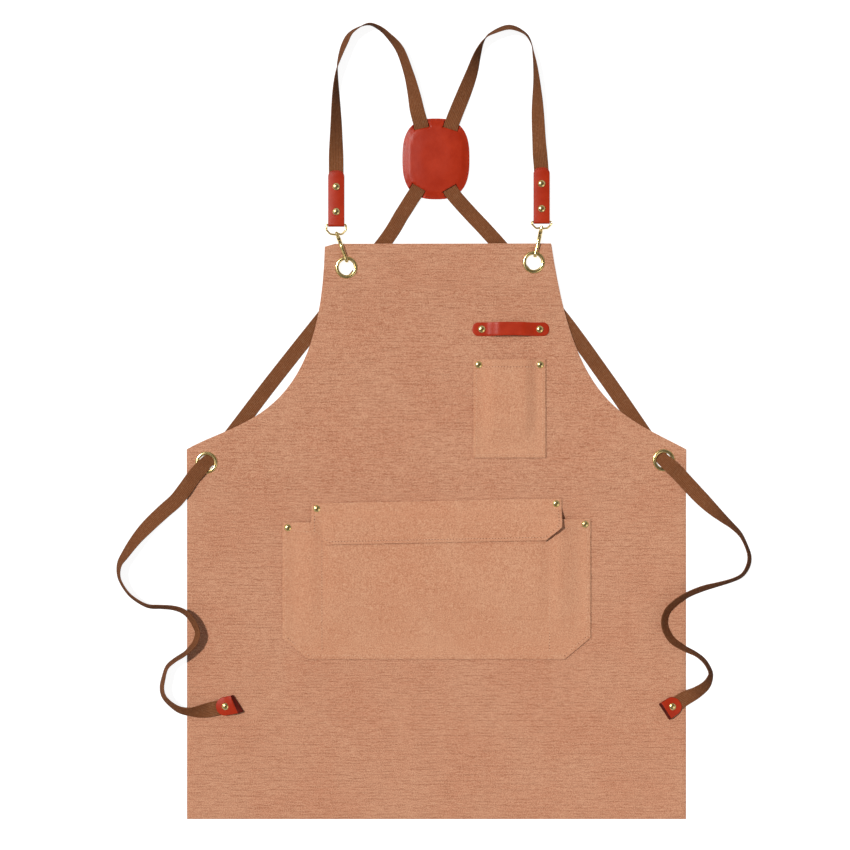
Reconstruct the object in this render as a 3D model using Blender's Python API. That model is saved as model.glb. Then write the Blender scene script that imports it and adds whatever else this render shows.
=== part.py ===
"""Cross-back work apron, laid flat on its back, front up.

X runs across the apron, Y from the hem to the bib, Z up out of the front.
The straps leave two leather shoulder tabs, cross inside a leather patch, run
behind the panel and come up through the waist eyelets as two tie tails.
"""
import bpy
import bmesh
import math
from mathutils import Vector

for old in list(bpy.data.objects):
    bpy.data.objects.remove(old, do_unlink=True)

MM = 0.001

# ---- materials' thicknesses and the gap that touching pieces keep ----
GAP = 0.3 * MM
CANVAS = 1.0 * MM
POCKET_CANVAS = 0.9 * MM
LEATHER = 1.2 * MM
WEBBING = 1.3 * MM
WEBBING_WIDTH = 20 * MM
WASHER = 0.5 * MM

# ---- panel ----
PANEL_HALF = 340 * MM
PANEL_HEM = -541 * MM
SIDE_TOP = -37 * MM
BIB_TOP = 242 * MM
BIB_CORNERS = {"left": (-152 * MM, BIB_TOP - 3.5 * MM), "right": (156 * MM, BIB_TOP + 1 * MM)}
ARMHOLE_HANDLES = {  # the two middle points of each side's cubic curve
    "left": ((-157.5 * MM, 0), (-269 * MM, 4 * MM)),
    "right": ((188.5 * MM, 21 * MM), (251.5 * MM, 10 * MM)),
}
ARMHOLE_STEPS = 12
WAIST_RAMP = (-100 * MM, -75 * MM)
BIB_RAMP = (140 * MM, 190 * MM)

# ---- eyelets ----
EYELET_RIM = 15.2 * MM
EYELET_BORE = 10.2 * MM
EYELET_WALL = 0.6 * MM
EYELET_CROWN = 1.4 * MM
EYELET_SIDES = 24
BIB_EYELETS = {"left": (-122.7 * MM, 210.3 * MM), "right": (132.1 * MM, 217.3 * MM)}
WAIST_EYELETS = {"left": (-313.3 * MM, -55.2 * MM), "right": (309.3 * MM, -51.9 * MM)}

# ---- rivets ----
RIVET_CAP = 5.0 * MM
RIVET_DOME = 2.2 * MM
RIVET_POST = 1.5 * MM
RIVET_HOLE = RIVET_POST + GAP
RIVET_INSET = 7.5 * MM

# ---- snap hooks ----
GATE_RADIUS = 1.1 * MM
GATE_PLAY = 1.9 * MM
SPINE_RADIUS = 1.5 * MM
NOSE_RADIUS = 1.3 * MM
HOOK_FLATNESS = 1.8
EYE_WIRE = 1.2 * MM
EYE_HALF = 13.4 * MM
BOSS_RADIUS = 2.6 * MM
BOSS_HALF = 2.0 * MM
BOSS_BORE = 1.35 * MM
POST_RADIUS = 1.05 * MM
HOOK_REACH = 40 * MM
SWIVELS = {"left": (-135.4 * MM, 255.8 * MM), "right": (142.7 * MM, 264.0 * MM)}
NOSE_AIM = {"left": (-121.9 * MM, 218.6 * MM), "right": (133.9 * MM, 225.3 * MM)}

# ---- shoulder tabs ----
TAB_HALF = 11 * MM
TAB_LENGTH = 76.5 * MM
TAB_RIVETS = (20.5 * MM, 54.5 * MM)
TAB_AXIS = {"left": -136.6 * MM, "right": 143.1 * MM}
TAB_FOOT = {"left": 266 * MM, "right": 270 * MM}

# ---- cross-back patch ----
PATCH_CENTRE = (-0.8 * MM, 358.5 * MM)
PATCH_HALF = (45.7 * MM, 55 * MM)
PATCH_POWER = 2.7
PATCH_SIDES = 40
SLIT_LENGTH = 10 * MM

# ---- pockets, flap, pen loop ----
CHEST = {"left": 49.8 * MM, "right": 148.6 * MM, "bottom": -48.7 * MM, "top": 85.6 * MM}
KANGAROO_HALF = 210 * MM
KANGAROO_TOP = -134 * MM
KANGAROO_BOTTOM = -323 * MM
KANGAROO_CHAMFER = (35 * MM, 29 * MM)
KANGAROO_SLOPE = 0.012
SEAM_MARGIN = 13 * MM
POCKET_GAPE = 4.8 * MM
FLAP_HALF = 170.5 * MM
FLAP_TOP = -107 * MM
FLAP_DROP = 57 * MM
FLAP_CHAMFER = (22 * MM, 18 * MM)
FLAP_FOLD = 14.5 * MM
FLAP_RISE = 11 * MM
FLAP_SLOPE = 0.0205
PEN_LOOP_CENTRE = (101 * MM, 126.4 * MM)
PEN_LOOP_HALF = (52.2 * MM, 9.2 * MM)
PEN_LOOP_RIVET = 39.5 * MM
PEN_LOOP_BOW = 4.9 * MM

# ---- tie end tabs ----
TIE_TAB_HALF = 12.5 * MM
TIE_TAB_LENGTH = {"left": 31 * MM, "right": 26 * MM}
TIE_TAB_ROUND = 12 * MM
TIE_RIVET = {"left": 18.2 * MM, "right": 13.6 * MM}

HALF_WEB = WEBBING_WIDTH / 2
WASHER_BORE = EYELET_BORE + EYELET_WALL + GAP
LIFT_WAIST = WEBBING + GAP + WASHER + GAP
EYE_HEIGHT = LEATHER + GAP + EYE_WIRE
GATE_HEIGHT = GAP + GATE_RADIUS
LIFT_BIB = GATE_HEIGHT + GATE_RADIUS + GATE_PLAY + GAP + WASHER + GAP
SPINE_RISE = LIFT_BIB + CANVAS + GAP + EYELET_CROWN + 2 * GAP + SPINE_RADIUS - EYE_HEIGHT
GATE_DROP = GATE_HEIGHT - EYE_HEIGHT
TAB_CHANNEL = WEBBING + 2 * GAP
POCKET_LIFT = CANVAS + GAP

COLOURS = {
    "canvas": ((0.617, 0.300, 0.183), 0.95, 0.0),
    "pocket_canvas": ((0.597, 0.300, 0.180), 0.95, 0.0),
    "leather": ((0.440, 0.040, 0.014), 0.45, 0.0),
    "webbing": ((0.171, 0.078, 0.037), 0.9, 0.0),
    "gold": ((0.800, 0.610, 0.300), 0.2, 1.0),
}


# ------------------------------------------------------------------ helpers
def material(name, finish):
    colour, roughness, metallic = COLOURS[finish]
    made = bpy.data.materials.new(name)
    made.use_nodes = True
    shader = made.node_tree.nodes["Principled BSDF"]
    shader.inputs["Base Color"].default_value = (*colour, 1)
    shader.inputs["Roughness"].default_value = roughness
    shader.inputs["Metallic"].default_value = metallic
    return made


def piece(name, bm, finish, smooth=False):
    """One closed solid from a bmesh, faces pointing out."""
    bmesh.ops.recalc_face_normals(bm, faces=bm.faces[:])
    mesh = bpy.data.meshes.new(name)
    bm.to_mesh(mesh)
    bm.free()
    obj = bpy.data.objects.new(name, mesh)
    bpy.context.scene.collection.objects.link(obj)
    mesh.materials.append(material(name, finish))
    if smooth:
        mesh.shade_smooth()
        mesh.set_sharp_from_angle(angle=math.radians(40))
    return obj


def cutter(name, bm):
    obj = piece(name, bm, "gold")
    obj.hide_render = True
    obj.display_type = "WIRE"
    return obj


def boolean(obj, tool, operation="DIFFERENCE"):
    mod = obj.modifiers.new(tool.name, "BOOLEAN")
    mod.operation = operation
    mod.solver = "EXACT"
    mod.object = tool


def ramp(value, low, high):
    return min(1.0, max(0.0, (value - low) / (high - low)))


def smooth_curve(points, spacing):
    """Points along a Catmull-Rom curve through the given tuples, about spacing apart."""
    ends = [points[0]] + list(points) + [points[-1]]
    out = []
    for i in range(1, len(ends) - 2):
        a, b, c, d = ends[i - 1], ends[i], ends[i + 1], ends[i + 2]
        steps = max(1, round(math.dist(b[:2], c[:2]) / spacing))
        for s in range(steps):
            t = s / steps
            out.append(tuple(
                0.5 * (2 * q + (r - p) * t + (2 * p - 5 * q + 4 * r - e) * t * t
                       + (3 * q - p - 3 * r + e) * t ** 3)
                for p, q, r, e in zip(a, b, c, d)))
    out.append(tuple(points[-1]))
    return out


def loft(rings):
    """A closed solid through rings of equal count, with flat end caps."""
    bm = bmesh.new()
    made = [[bm.verts.new(co) for co in ring] for ring in rings]
    count = len(made[0])
    for low, high in zip(made, made[1:]):
        for i in range(count):
            j = (i + 1) % count
            bm.faces.new((low[i], low[j], high[j], high[i]))
    bm.faces.new(made[0])
    bm.faces.new(made[-1])
    return bm


def tube(points, radii, sides=8):
    """A round bar along points, one radius each."""
    rings = []
    side = None
    for i, point in enumerate(points):
        ahead = Vector(points[min(i + 1, len(points) - 1)])
        behind = Vector(points[max(i - 1, 0)])
        along = (ahead - behind).normalized()
        if side is None:
            side = along.orthogonal().normalized()
        side = (side - along * side.dot(along)).normalized()
        other = along.cross(side)
        rings.append([Vector(point) + radii[i] * (side * math.cos(a) + other * math.sin(a))
                      for a in (2 * math.pi * k / sides for k in range(sides))])
    return loft(rings)


def turned(profile, sides, place, axis="Z"):
    """A ring or pin from a closed or axis-touching (radius, height) profile."""
    bm = bmesh.new()
    loops = []
    for radius, height in profile:
        if radius == 0:
            loops.append([bm.verts.new((0, 0, height))] * sides)
            continue
        loops.append([bm.verts.new((radius * math.cos(a), radius * math.sin(a), height))
                      for a in (2 * math.pi * k / sides for k in range(sides))])
    closed = profile[0][0] != 0
    pairs = list(zip(loops, loops[1:])) + ([(loops[-1], loops[0])] if closed else [])
    for low, high in pairs:
        for i in range(sides):
            j = (i + 1) % sides
            corners = []
            for vert in (low[i], low[j], high[j], high[i]):
                if vert not in corners:
                    corners.append(vert)
            bm.faces.new(corners)
    if axis == "U":
        for vert in bm.verts:
            vert.co = (vert.co.z, vert.co.x, vert.co.y)
    bmesh.ops.translate(bm, verts=bm.verts[:], vec=place)
    return bm


def prism(outline, bottom, top):
    bm = bmesh.new()
    face = bm.faces.new([bm.verts.new((x, y, bottom)) for x, y in outline])
    new = bmesh.ops.extrude_face_region(bm, geom=[face])["geom"]
    bmesh.ops.translate(bm, verts=[v for v in new if isinstance(v, bmesh.types.BMVert)],
                        vec=(0, 0, top - bottom))
    return bm


def join(*parts):
    """Several bmeshes as one, for cutters made of separate solids."""
    whole = bmesh.new()
    for bm in parts:
        mesh = bpy.data.meshes.new("part")
        bmesh.ops.recalc_face_normals(bm, faces=bm.faces[:])
        bm.to_mesh(mesh)
        bm.free()
        whole.from_mesh(mesh)
        bpy.data.meshes.remove(mesh)
    return whole


def circle(centre, radius, sides):
    return [(centre[0] + radius * math.cos(a), centre[1] + radius * math.sin(a))
            for a in (2 * math.pi * (k + 0.5) / sides for k in range(sides))]


def drill(obj, places, radius, bottom=-5 * MM, top=40 * MM, sides=12):
    holes = join(*(prism(circle(p, radius, sides), bottom, top) for p in places))
    boolean(obj, cutter(obj.name + "_holes", holes))


def cloth(name, outline, height, thickness, finish, x_cuts=(), y_cuts=(), warp=None):
    """A sheet of even thickness whose under side is at height(x, y); warp(x, y) gives the y
    that a point is then moved to."""
    bm = bmesh.new()
    bm.faces.new([bm.verts.new((x, y, 0)) for x, y in outline])
    for normal, cuts in (((1, 0, 0), x_cuts), ((0, 1, 0), y_cuts)):
        for cut in cuts:
            place = (cut, 0, 0) if normal[0] else (0, cut, 0)
            bmesh.ops.bisect_plane(bm, geom=bm.verts[:] + bm.edges[:] + bm.faces[:],
                                   plane_co=place, plane_no=normal, dist=1e-6)
    bmesh.ops.triangulate(bm, faces=bm.faces[:])
    for vert in bm.verts:
        vert.co.z = height(vert.co.x, vert.co.y)
        if warp:
            vert.co.y = warp(vert.co.x, vert.co.y)
    new = bmesh.ops.extrude_face_region(bm, geom=bm.faces[:])["geom"]
    bmesh.ops.translate(bm, verts=[v for v in new if isinstance(v, bmesh.types.BMVert)],
                        vec=(0, 0, thickness))
    return piece(name, bm, finish)


def ribbon(name, route, spacing, finish="webbing", thickness=WEBBING):
    """Flat webbing along a route of (x, y, base, roll, width): base is its lower edge's height,
    roll its turn in degrees about its own length, 0 flat and 90 on edge."""
    path = smooth_curve(route, spacing)
    rings = []
    for i, (x, y, base, roll, width) in enumerate(path):
        ahead = path[min(i + 1, len(path) - 1)]
        behind = path[max(i - 1, 0)]
        along = Vector((ahead[0] - behind[0], ahead[1] - behind[1], 0)).normalized()
        left = Vector((-along.y, along.x, 0))
        turn = math.radians(roll)
        across = left * math.cos(turn) + Vector((0, 0, math.sin(turn)))
        out = Vector((0, 0, math.cos(turn))) - left * math.sin(turn)
        rise = max(base, 0) + width / 2 * abs(math.sin(turn)) + thickness / 2 * abs(math.cos(turn))
        centre = Vector((x, y, rise))
        across *= width / 2
        out *= thickness / 2
        rings.append([centre - across - out, centre + across - out,
                      centre + across + out, centre - across + out])
    return piece(name, loft(rings), finish)


def in_mm(*rows):
    """Route rows in millimetres, with roll in degrees and width 20 mm where it isn't given."""
    return [(x * MM, y * MM, base * MM, roll, rest[0] * MM if rest else WEBBING_WIDTH)
            for x, y, base, roll, *rest in rows]


# -------------------------------------------------------------------- canvas
def panel_lift(y):
    """How high the panel's under side lies: over the straps and the hooks' gates."""
    return (LIFT_WAIST * ramp(y, *WAIST_RAMP) + (LIFT_BIB - LIFT_WAIST) * ramp(y, *BIB_RAMP))


def armhole(side):
    """Points down one armhole, from the bib's corner to the top of the side."""
    edge = -PANEL_HALF if side == "left" else PANEL_HALF
    points = [BIB_CORNERS[side], *ARMHOLE_HANDLES[side], (edge, SIDE_TOP)]
    out = []
    for step in range(ARMHOLE_STEPS + 1):
        t = step / ARMHOLE_STEPS
        weights = ((1 - t) ** 3, 3 * t * (1 - t) ** 2, 3 * t * t * (1 - t), t ** 3)
        out.append(tuple(sum(w * p[i] for w, p in zip(weights, points)) for i in (0, 1)))
    return out


def warped_flap(x, y):
    return y + FLAP_SLOPE * x


def warped_pocket(x, y):
    return y + KANGAROO_SLOPE * x * ramp(y, KANGAROO_BOTTOM, KANGAROO_TOP)


CHEST_MIDDLE = (CHEST["left"] + CHEST["right"]) / 2
CHEST_HALF = (CHEST["right"] - CHEST["left"]) / 2
RIVETS = {
    "pen_loop": [(PEN_LOOP_CENTRE[0] + s * PEN_LOOP_RIVET, PEN_LOOP_CENTRE[1]) for s in (-1, 1)],
    "chest": [(CHEST_MIDDLE + s * (CHEST_HALF - RIVET_INSET), CHEST["top"] - RIVET_INSET)
              for s in (-1, 1)],
    "kangaroo": [(x, warped_pocket(x, KANGAROO_TOP - RIVET_INSET))
                 for x in (RIVET_INSET - KANGAROO_HALF, KANGAROO_HALF - RIVET_INSET)],
    "flap": [(x, warped_flap(x, FLAP_TOP - RIVET_INSET))
             for x in (RIVET_INSET - FLAP_HALF, FLAP_HALF - RIVET_INSET)],
}


def make_panel():
    outline = [(-PANEL_HALF, PANEL_HEM), (PANEL_HALF, PANEL_HEM)]
    outline += armhole("right")[::-1]
    outline += [(-138 * MM, BIB_TOP + 0.5 * MM)] + armhole("left")
    panel = cloth("body_panel", outline, lambda x, y: panel_lift(y), CANVAS, "canvas",
                  y_cuts=(*WAIST_RAMP, *BIB_RAMP))
    eyelets = [*BIB_EYELETS.values(), *WAIST_EYELETS.values()]
    drill(panel, eyelets, WASHER_BORE, sides=EYELET_SIDES)
    drill(panel, sum(RIVETS.values(), []), RIVET_HOLE)


def pocket_bump(x, y, middle, half, bottom, side_run, foot_run):
    """How far a sewn pocket stands off the panel: nothing along its seams, most at the mouth."""
    return (POCKET_GAPE * ramp(half - abs(x - middle), SEAM_MARGIN, SEAM_MARGIN + side_run)
            * ramp(y - bottom, SEAM_MARGIN, SEAM_MARGIN + foot_run))


def chamfered(half, bottom, top, chamfer):
    return [(-half, top), (-half, bottom + chamfer[1]), (-half + chamfer[0], bottom),
            (half - chamfer[0], bottom), (half, bottom + chamfer[1]), (half, top)]


def make_chest_pocket():
    side_run, foot_run = 16 * MM, 40 * MM
    left, right, bottom, top = (CHEST[k] for k in ("left", "right", "bottom", "top"))

    def height(x, y):
        return (panel_lift(y) + POCKET_LIFT
                + pocket_bump(x, y, CHEST_MIDDLE, CHEST_HALF, bottom, side_run, foot_run))

    cuts = [SEAM_MARGIN, SEAM_MARGIN + side_run]
    pocket = cloth("chest_pocket", [(left, top), (left, bottom), (right, bottom), (right, top)],
                   height, POCKET_CANVAS, "pocket_canvas",
                   x_cuts=[left + c for c in cuts] + [right - c for c in cuts],
                   y_cuts=[bottom + SEAM_MARGIN, bottom + SEAM_MARGIN + foot_run])
    drill(pocket, RIVETS["chest"], RIVET_HOLE)


KANGAROO_SIDE_RUN = 36 * MM


def kangaroo_bump(x, y):
    return pocket_bump(x, y, 0, KANGAROO_HALF, KANGAROO_BOTTOM, KANGAROO_SIDE_RUN, 90 * MM)


def make_kangaroo_pocket():
    cuts = [KANGAROO_HALF - SEAM_MARGIN, KANGAROO_HALF - SEAM_MARGIN - KANGAROO_SIDE_RUN]
    pocket = cloth("kangaroo_pocket",
                   chamfered(KANGAROO_HALF, KANGAROO_BOTTOM, KANGAROO_TOP, KANGAROO_CHAMFER),
                   lambda x, y: POCKET_LIFT + kangaroo_bump(x, y), POCKET_CANVAS,
                   "pocket_canvas", x_cuts=cuts + [-c for c in cuts],
                   y_cuts=[KANGAROO_BOTTOM + SEAM_MARGIN, KANGAROO_BOTTOM + SEAM_MARGIN + 90 * MM],
                   warp=warped_pocket)
    drill(pocket, RIVETS["kangaroo"], RIVET_HOLE)


def make_flap():
    fold = FLAP_TOP - FLAP_FOLD
    over = POCKET_CANVAS + GAP

    def height(x, y):
        return POCKET_LIFT + (over + kangaroo_bump(x, KANGAROO_TOP)) * ramp(fold - y, 0, FLAP_RISE)

    band = cloth("flap_band", [(-FLAP_HALF, FLAP_TOP), (-FLAP_HALF, fold + GAP / 2),
                               (FLAP_HALF, fold + GAP / 2), (FLAP_HALF, FLAP_TOP)],
                 lambda x, y: POCKET_LIFT, POCKET_CANVAS, "pocket_canvas", warp=warped_flap)
    drill(band, RIVETS["flap"], RIVET_HOLE)
    plateau = KANGAROO_HALF - SEAM_MARGIN - KANGAROO_SIDE_RUN
    cloth("pocket_flap",
          chamfered(FLAP_HALF, FLAP_TOP - FLAP_DROP, fold - GAP / 2, FLAP_CHAMFER), height,
          POCKET_CANVAS, "pocket_canvas", x_cuts=(-plateau, plateau),
          y_cuts=[fold - FLAP_RISE], warp=warped_flap)


# ------------------------------------------------------------------- leather
def rounded(half_x, half_y, radius, steps=5):
    """A rectangle about the origin with round corners."""
    out = []
    for turn, (sx, sy) in enumerate(((1, 1), (-1, 1), (-1, -1), (1, -1))):
        for k in range(steps + 1):
            a = math.pi / 2 * (turn + k / steps)
            out.append((sx * (half_x - radius) + radius * math.cos(a),
                        sy * (half_y - radius) + radius * math.sin(a)))
    return out


def folded_tab(name, tip, toward, length, half, base, bar, end_radius):
    """A leather strip folded at its tip round a bar of the given radius (0 for none), its two
    ends lying over and under the webbing."""
    fold = max(bar + GAP, TAB_CHANNEL / 2)
    outer = fold + LEATHER
    taper = outer + 8 * MM
    flat = 2 * LEATHER + TAB_CHANNEL
    arc = [math.pi * (1.5 - k / 6) for k in range(7)]
    profile = [(length, 0)]
    profile += [(outer + outer * math.cos(a), outer + outer * math.sin(a)) for a in arc]
    profile += [(taper, flat), (length, flat), (length, flat - LEATHER), (taper, flat - LEATHER)]
    profile += [(outer + fold * math.cos(a), outer + fold * math.sin(a)) for a in reversed(arc)]
    profile += [(length, LEATHER)]

    def place(s, w, z):
        return (tip[0] + s * toward[0] - w * toward[1], tip[1] + s * toward[1] + w * toward[0],
                base + z)

    tab = piece(name, loft([[place(s, w, z) for s, z in profile] for w in (-half, half)]),
                "leather")
    outline = [place(length / 2 + s, w, 0)[:2] for s, w in
               rounded(length / 2 + 1 * MM, half - 0.2 * MM, end_radius)]
    boolean(tab, cutter(name + "_outline", prism(outline, base - 5 * MM, base + 15 * MM)),
            "INTERSECT")
    return tab


def make_shoulder_tab(side):
    tip = (TAB_AXIS[side], TAB_FOOT[side])
    tab = folded_tab(side + "_shoulder_tab", tip, (0, 1), TAB_LENGTH, TAB_HALF, 0, EYE_WIRE,
                     7 * MM)
    places = [(tip[0], tip[1] + rise) for rise in TAB_RIVETS]
    drill(tab, places, RIVET_HOLE)
    return places


def patch_point(scale, k):
    a = 2 * math.pi * k / PATCH_SIDES
    c, s = math.cos(a), math.sin(a)
    reach = (abs(c) ** PATCH_POWER + abs(s) ** PATCH_POWER) ** (-1 / PATCH_POWER)
    return (PATCH_CENTRE[0] + scale * PATCH_HALF[0] * reach * c,
            PATCH_CENTRE[1] + scale * PATCH_HALF[1] * reach * s)


PATCH_FRONT = LEATHER + GAP
PATCH_RINGS = (  # share of the outline, height of the front layer's under side
    (1.00, PATCH_FRONT),
    (0.915, PATCH_FRONT),
    (0.865, PATCH_FRONT + 2.3 * MM),
    (0.45, PATCH_FRONT + 2 * (WEBBING + GAP) + 0.2 * MM),
    (0.20, PATCH_FRONT + 2 * (WEBBING + GAP) + 0.2 * MM),
)
SLITS = (  # the inner end of each slit, and the way the webbing leaves over the border
    ((-20.0 * MM, 399.0 * MM), (-0.20, 0.98)),
    ((18.4 * MM, 398.0 * MM), (0.29, 0.957)),
    ((-23.6 * MM, 320.0 * MM), (-0.50, -0.866)),
    ((17.0 * MM, 319.0 * MM), (0.50, -0.866)),
)


def make_patch():
    rings = [[(*patch_point(scale, k), z + LEATHER) for k in range(PATCH_SIDES)]
             for scale, z in reversed(PATCH_RINGS)]
    rings += [[(*patch_point(scale, k), z) for k in range(PATCH_SIDES)]
              for scale, z in PATCH_RINGS]
    front = piece("patch_front", loft(rings), "leather")
    slits = []
    for (x, y), (dx, dy) in SLITS:
        middle = (x + dx * SLIT_LENGTH / 2, y + dy * SLIT_LENGTH / 2)
        half_wide = HALF_WEB + 2 * GAP
        slits.append(prism([(middle[0] + a * dx * SLIT_LENGTH / 2 - b * dy * half_wide,
                             middle[1] + a * dy * SLIT_LENGTH / 2 + b * dx * half_wide)
                            for a, b in ((-1, -1), (1, -1), (1, 1), (-1, 1))], GAP, 20 * MM))
    boolean(front, cutter("patch_slits", join(*slits)))
    piece("patch_back", prism([patch_point(1, k) for k in range(PATCH_SIDES)], 0, LEATHER),
          "leather")


def make_pen_loop():
    cx, cy = PEN_LOOP_CENTRE
    outline = [(cx + x, cy + y) for x, y in rounded(*PEN_LOOP_HALF, 8 * MM)]
    clear, crest = 31 * MM, 22 * MM

    def height(x, y):
        return (panel_lift(cy) + POCKET_LIFT
                + PEN_LOOP_BOW * ramp(clear - abs(x - cx), 0, clear - crest))

    loop = cloth("pen_loop", outline, height, LEATHER, "leather",
                 x_cuts=(cx - clear, cx - crest, cx + crest, cx + clear))
    drill(loop, RIVETS["pen_loop"], RIVET_HOLE)


# ------------------------------------------------------------------- webbing
STRAP_IN_TAB = (LEATHER + GAP) / MM
OVER_BORDER = (2 * LEATHER + 2 * GAP) / MM + 0.1
IN_SLIT = 2.0
UNDER_CROSSING = STRAP_IN_TAB + 0.1
OVER_CROSSING = UNDER_CROSSING + (WEBBING + GAP) / MM

LEFT_STRAP = in_mm(
    (-136.6, 277.5, STRAP_IN_TAB, 0), (-136.6, 300, STRAP_IN_TAB, 0),
    (-136.7, 328, STRAP_IN_TAB, 0), (-136.7, 345, STRAP_IN_TAB, 0), (-136.7, 357, 0.9, 6),
    (-136.6, 380, 0, 27), (-136.4, 406.7, 0, 43), (-136.7, 447, 0, 65), (-135.6, 474, 0, 85),
    (-132.5, 491.5, 0, 104), (-124.7, 514.4, 0, 117), (-115, 530, 0, 110), (-94, 540.4, 0, 95),
    (-78, 535.4, 0, 84), (-64.5, 524, 0, 75), (-49.3, 505, 0, 60), (-37.9, 474, 0, 51),
    (-31, 447, 0.8, 33), (-26.4, 424, 2.9, 10), (-21.6, 406.4, OVER_BORDER, 0),
    (-20, 399, IN_SLIT, 0), (-16, 389, UNDER_CROSSING, 0), (-11, 378, UNDER_CROSSING, 0),
    (-1.5, 357, UNDER_CROSSING, 0), (8, 338, UNDER_CROSSING, 0), (13, 327, UNDER_CROSSING, 0),
    (17, 319, IN_SLIT, 0), (20.9, 312.6, OVER_BORDER, 0), (28, 303.5, OVER_BORDER, 0),
    (45, 285, 0.3, 0), (84.2, 242.7, 0, 0), (165, 149.5, 0, 0), (233, 57, 0, 0),
    (288.5, -23.6, 0, 0), (310.5, -53.5, 0, 0, 17))
RIGHT_STRAP = in_mm(
    (143.1, 281.5, STRAP_IN_TAB, 0), (143.1, 304, STRAP_IN_TAB, 0),
    (143, 332, STRAP_IN_TAB, 0), (142.3, 349, STRAP_IN_TAB, 0), (141.2, 361, 0.9, -6),
    (139.7, 380, 0, -24), (137.7, 420, 0, -36), (136, 460.6, 0, -66), (133.8, 485, 0, -80),
    (131.3, 501, 0, -90), (128.5, 514.4, 0, -98), (120, 528, 0, -108), (98.8, 536.5, 0, -118),
    (74.7, 528, 0, -108), (64.6, 518.6, 0, -90), (56.2, 501, 0, -65), (47.7, 474, 0, -38),
    (37.3, 447, 0.8, -18), (27.5, 423, 2.9, -8), (20.6, 405.2, OVER_BORDER, 0),
    (18.4, 398, IN_SLIT, 0), (13.5, 388.5, 2.4, 0), (8, 379.5, OVER_CROSSING, 0),
    (-2.6, 359, OVER_CROSSING, 0), (-13.2, 339, OVER_CROSSING, 0), (-18.5, 329.5, 2.4, 0),
    (-23.6, 320, IN_SLIT, 0), (-27.4, 313.4, OVER_BORDER, 0), (-33.5, 304, OVER_BORDER, 0),
    (-47, 283, 0.3, 0), (-72.9, 242.7, 0, 0), (-149.4, 149, 0, 0), (-224, 55, 0, 0),
    (-285, -24.7, 0, 0), (-314.3, -56.4, 0, 0, 17))

IN_HOLE = (WEBBING + GAP) / MM + 0.1
OVER_RIM = (LIFT_WAIST + CANVAS + GAP + EYELET_CROWN + GAP) / MM
OVER_CORNER = (LIFT_WAIST + CANVAS + GAP) / MM + 0.1
OVER_PANEL = (CANVAS + GAP) / MM + 0.1
IN_TIE_TAB = OVER_PANEL + (LEATHER + GAP) / MM
LEFT_TAIL = in_mm(
    (-310.6, -52.2, IN_HOLE, 0, 13), (-317.3, -59.7, OVER_RIM, 0, 14),
    (-324, -67.1, OVER_RIM, 0), (-331.5, -76, OVER_CORNER, 0), (-343, -92, OVER_CORNER, 0),
    (-355, -107, 2.6, 0), (-372, -122, 0, 8), (-392, -141, 0, 18), (-408.5, -159.5, 0, 37),
    (-423, -180, 0, 52), (-431, -194, 0, 64), (-431, -212, 0, 71), (-421, -230, 0, 72),
    (-408.5, -241.5, 0, 71), (-392, -250, 0, 70), (-376, -251, 0.4, 70),
    (-360, -252, OVER_PANEL, 68), (-347, -255.5, OVER_PANEL, 64), (-336.5, -263, OVER_PANEL, 62),
    (-328, -276, OVER_PANEL, 62), (-324.5, -287.5, OVER_PANEL, 64),
    (-328.5, -300.5, OVER_PANEL, 68), (-337, -310, OVER_PANEL, 73),
    (-343, -315.5, OVER_PANEL, 75), (-355, -323, OVER_PANEL, 76), (-366, -333, 0.4, 74),
    (-371, -348.5, 0, 70), (-373, -361.5, 0.4, 67), (-370, -373, OVER_PANEL, 64),
    (-361, -383, OVER_PANEL, 61), (-348.5, -391, OVER_PANEL, 54), (-333, -394, OVER_PANEL, 45),
    (-318, -393.2, 2.1, 18), (-307.5, -391.2, IN_TIE_TAB, 0), (-300.5, -389.7, IN_TIE_TAB, 0),
    (-290, -387.4, IN_TIE_TAB, 0), (-276, -384.2, IN_TIE_TAB, 0))
RIGHT_TAIL = in_mm(
    (306.3, -49.2, IN_HOLE, 0, 13), (313.7, -55.9, OVER_RIM, 0, 14),
    (321, -62.6, OVER_RIM, 0), (328.5, -69.5, OVER_CORNER, 0), (342, -84, OVER_CORNER, 0),
    (355, -98, 2.6, 0), (373, -116, 0, -26), (388, -129.5, 0, -49), (401, -140.5, 0, -64),
    (413, -153, 0, -69), (421, -169, 0, -71), (425, -183, 0, -67), (423, -196, 0, -65),
    (415, -208, 0, -68), (401, -215, 0, -70), (380.5, -221, 0, -67), (362, -226, 0.9, -62),
    (342, -234, OVER_PANEL, -61), (325, -245, OVER_PANEL, -58), (313.5, -257, OVER_PANEL, -57),
    (309.5, -271, OVER_PANEL, -57), (312.5, -284.5, OVER_PANEL, -58), (321, -297, OVER_PANEL, -62),
    (336, -307, OVER_PANEL, -70), (352, -315, OVER_PANEL, -75), (364, -325, 0.4, -72),
    (371.5, -338, 0, -69), (371.5, -347, 0, -58), (366, -358, 0.5, -42),
    (354, -367.5, OVER_PANEL, -27), (342, -374, 2.3, -9), (333.5, -379, IN_TIE_TAB, 0),
    (322, -386.4, IN_TIE_TAB, 0), (315.5, -390.6, IN_TIE_TAB, 0))
TIE_TABS = {  # tip of the folded end, and the way back along the webbing
    "left": ((-269.5 * MM, -382.7 * MM), (-0.976, -0.219)),
    "right": ((309.4 * MM, -394.5 * MM), (0.841, 0.541)),
}


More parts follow.
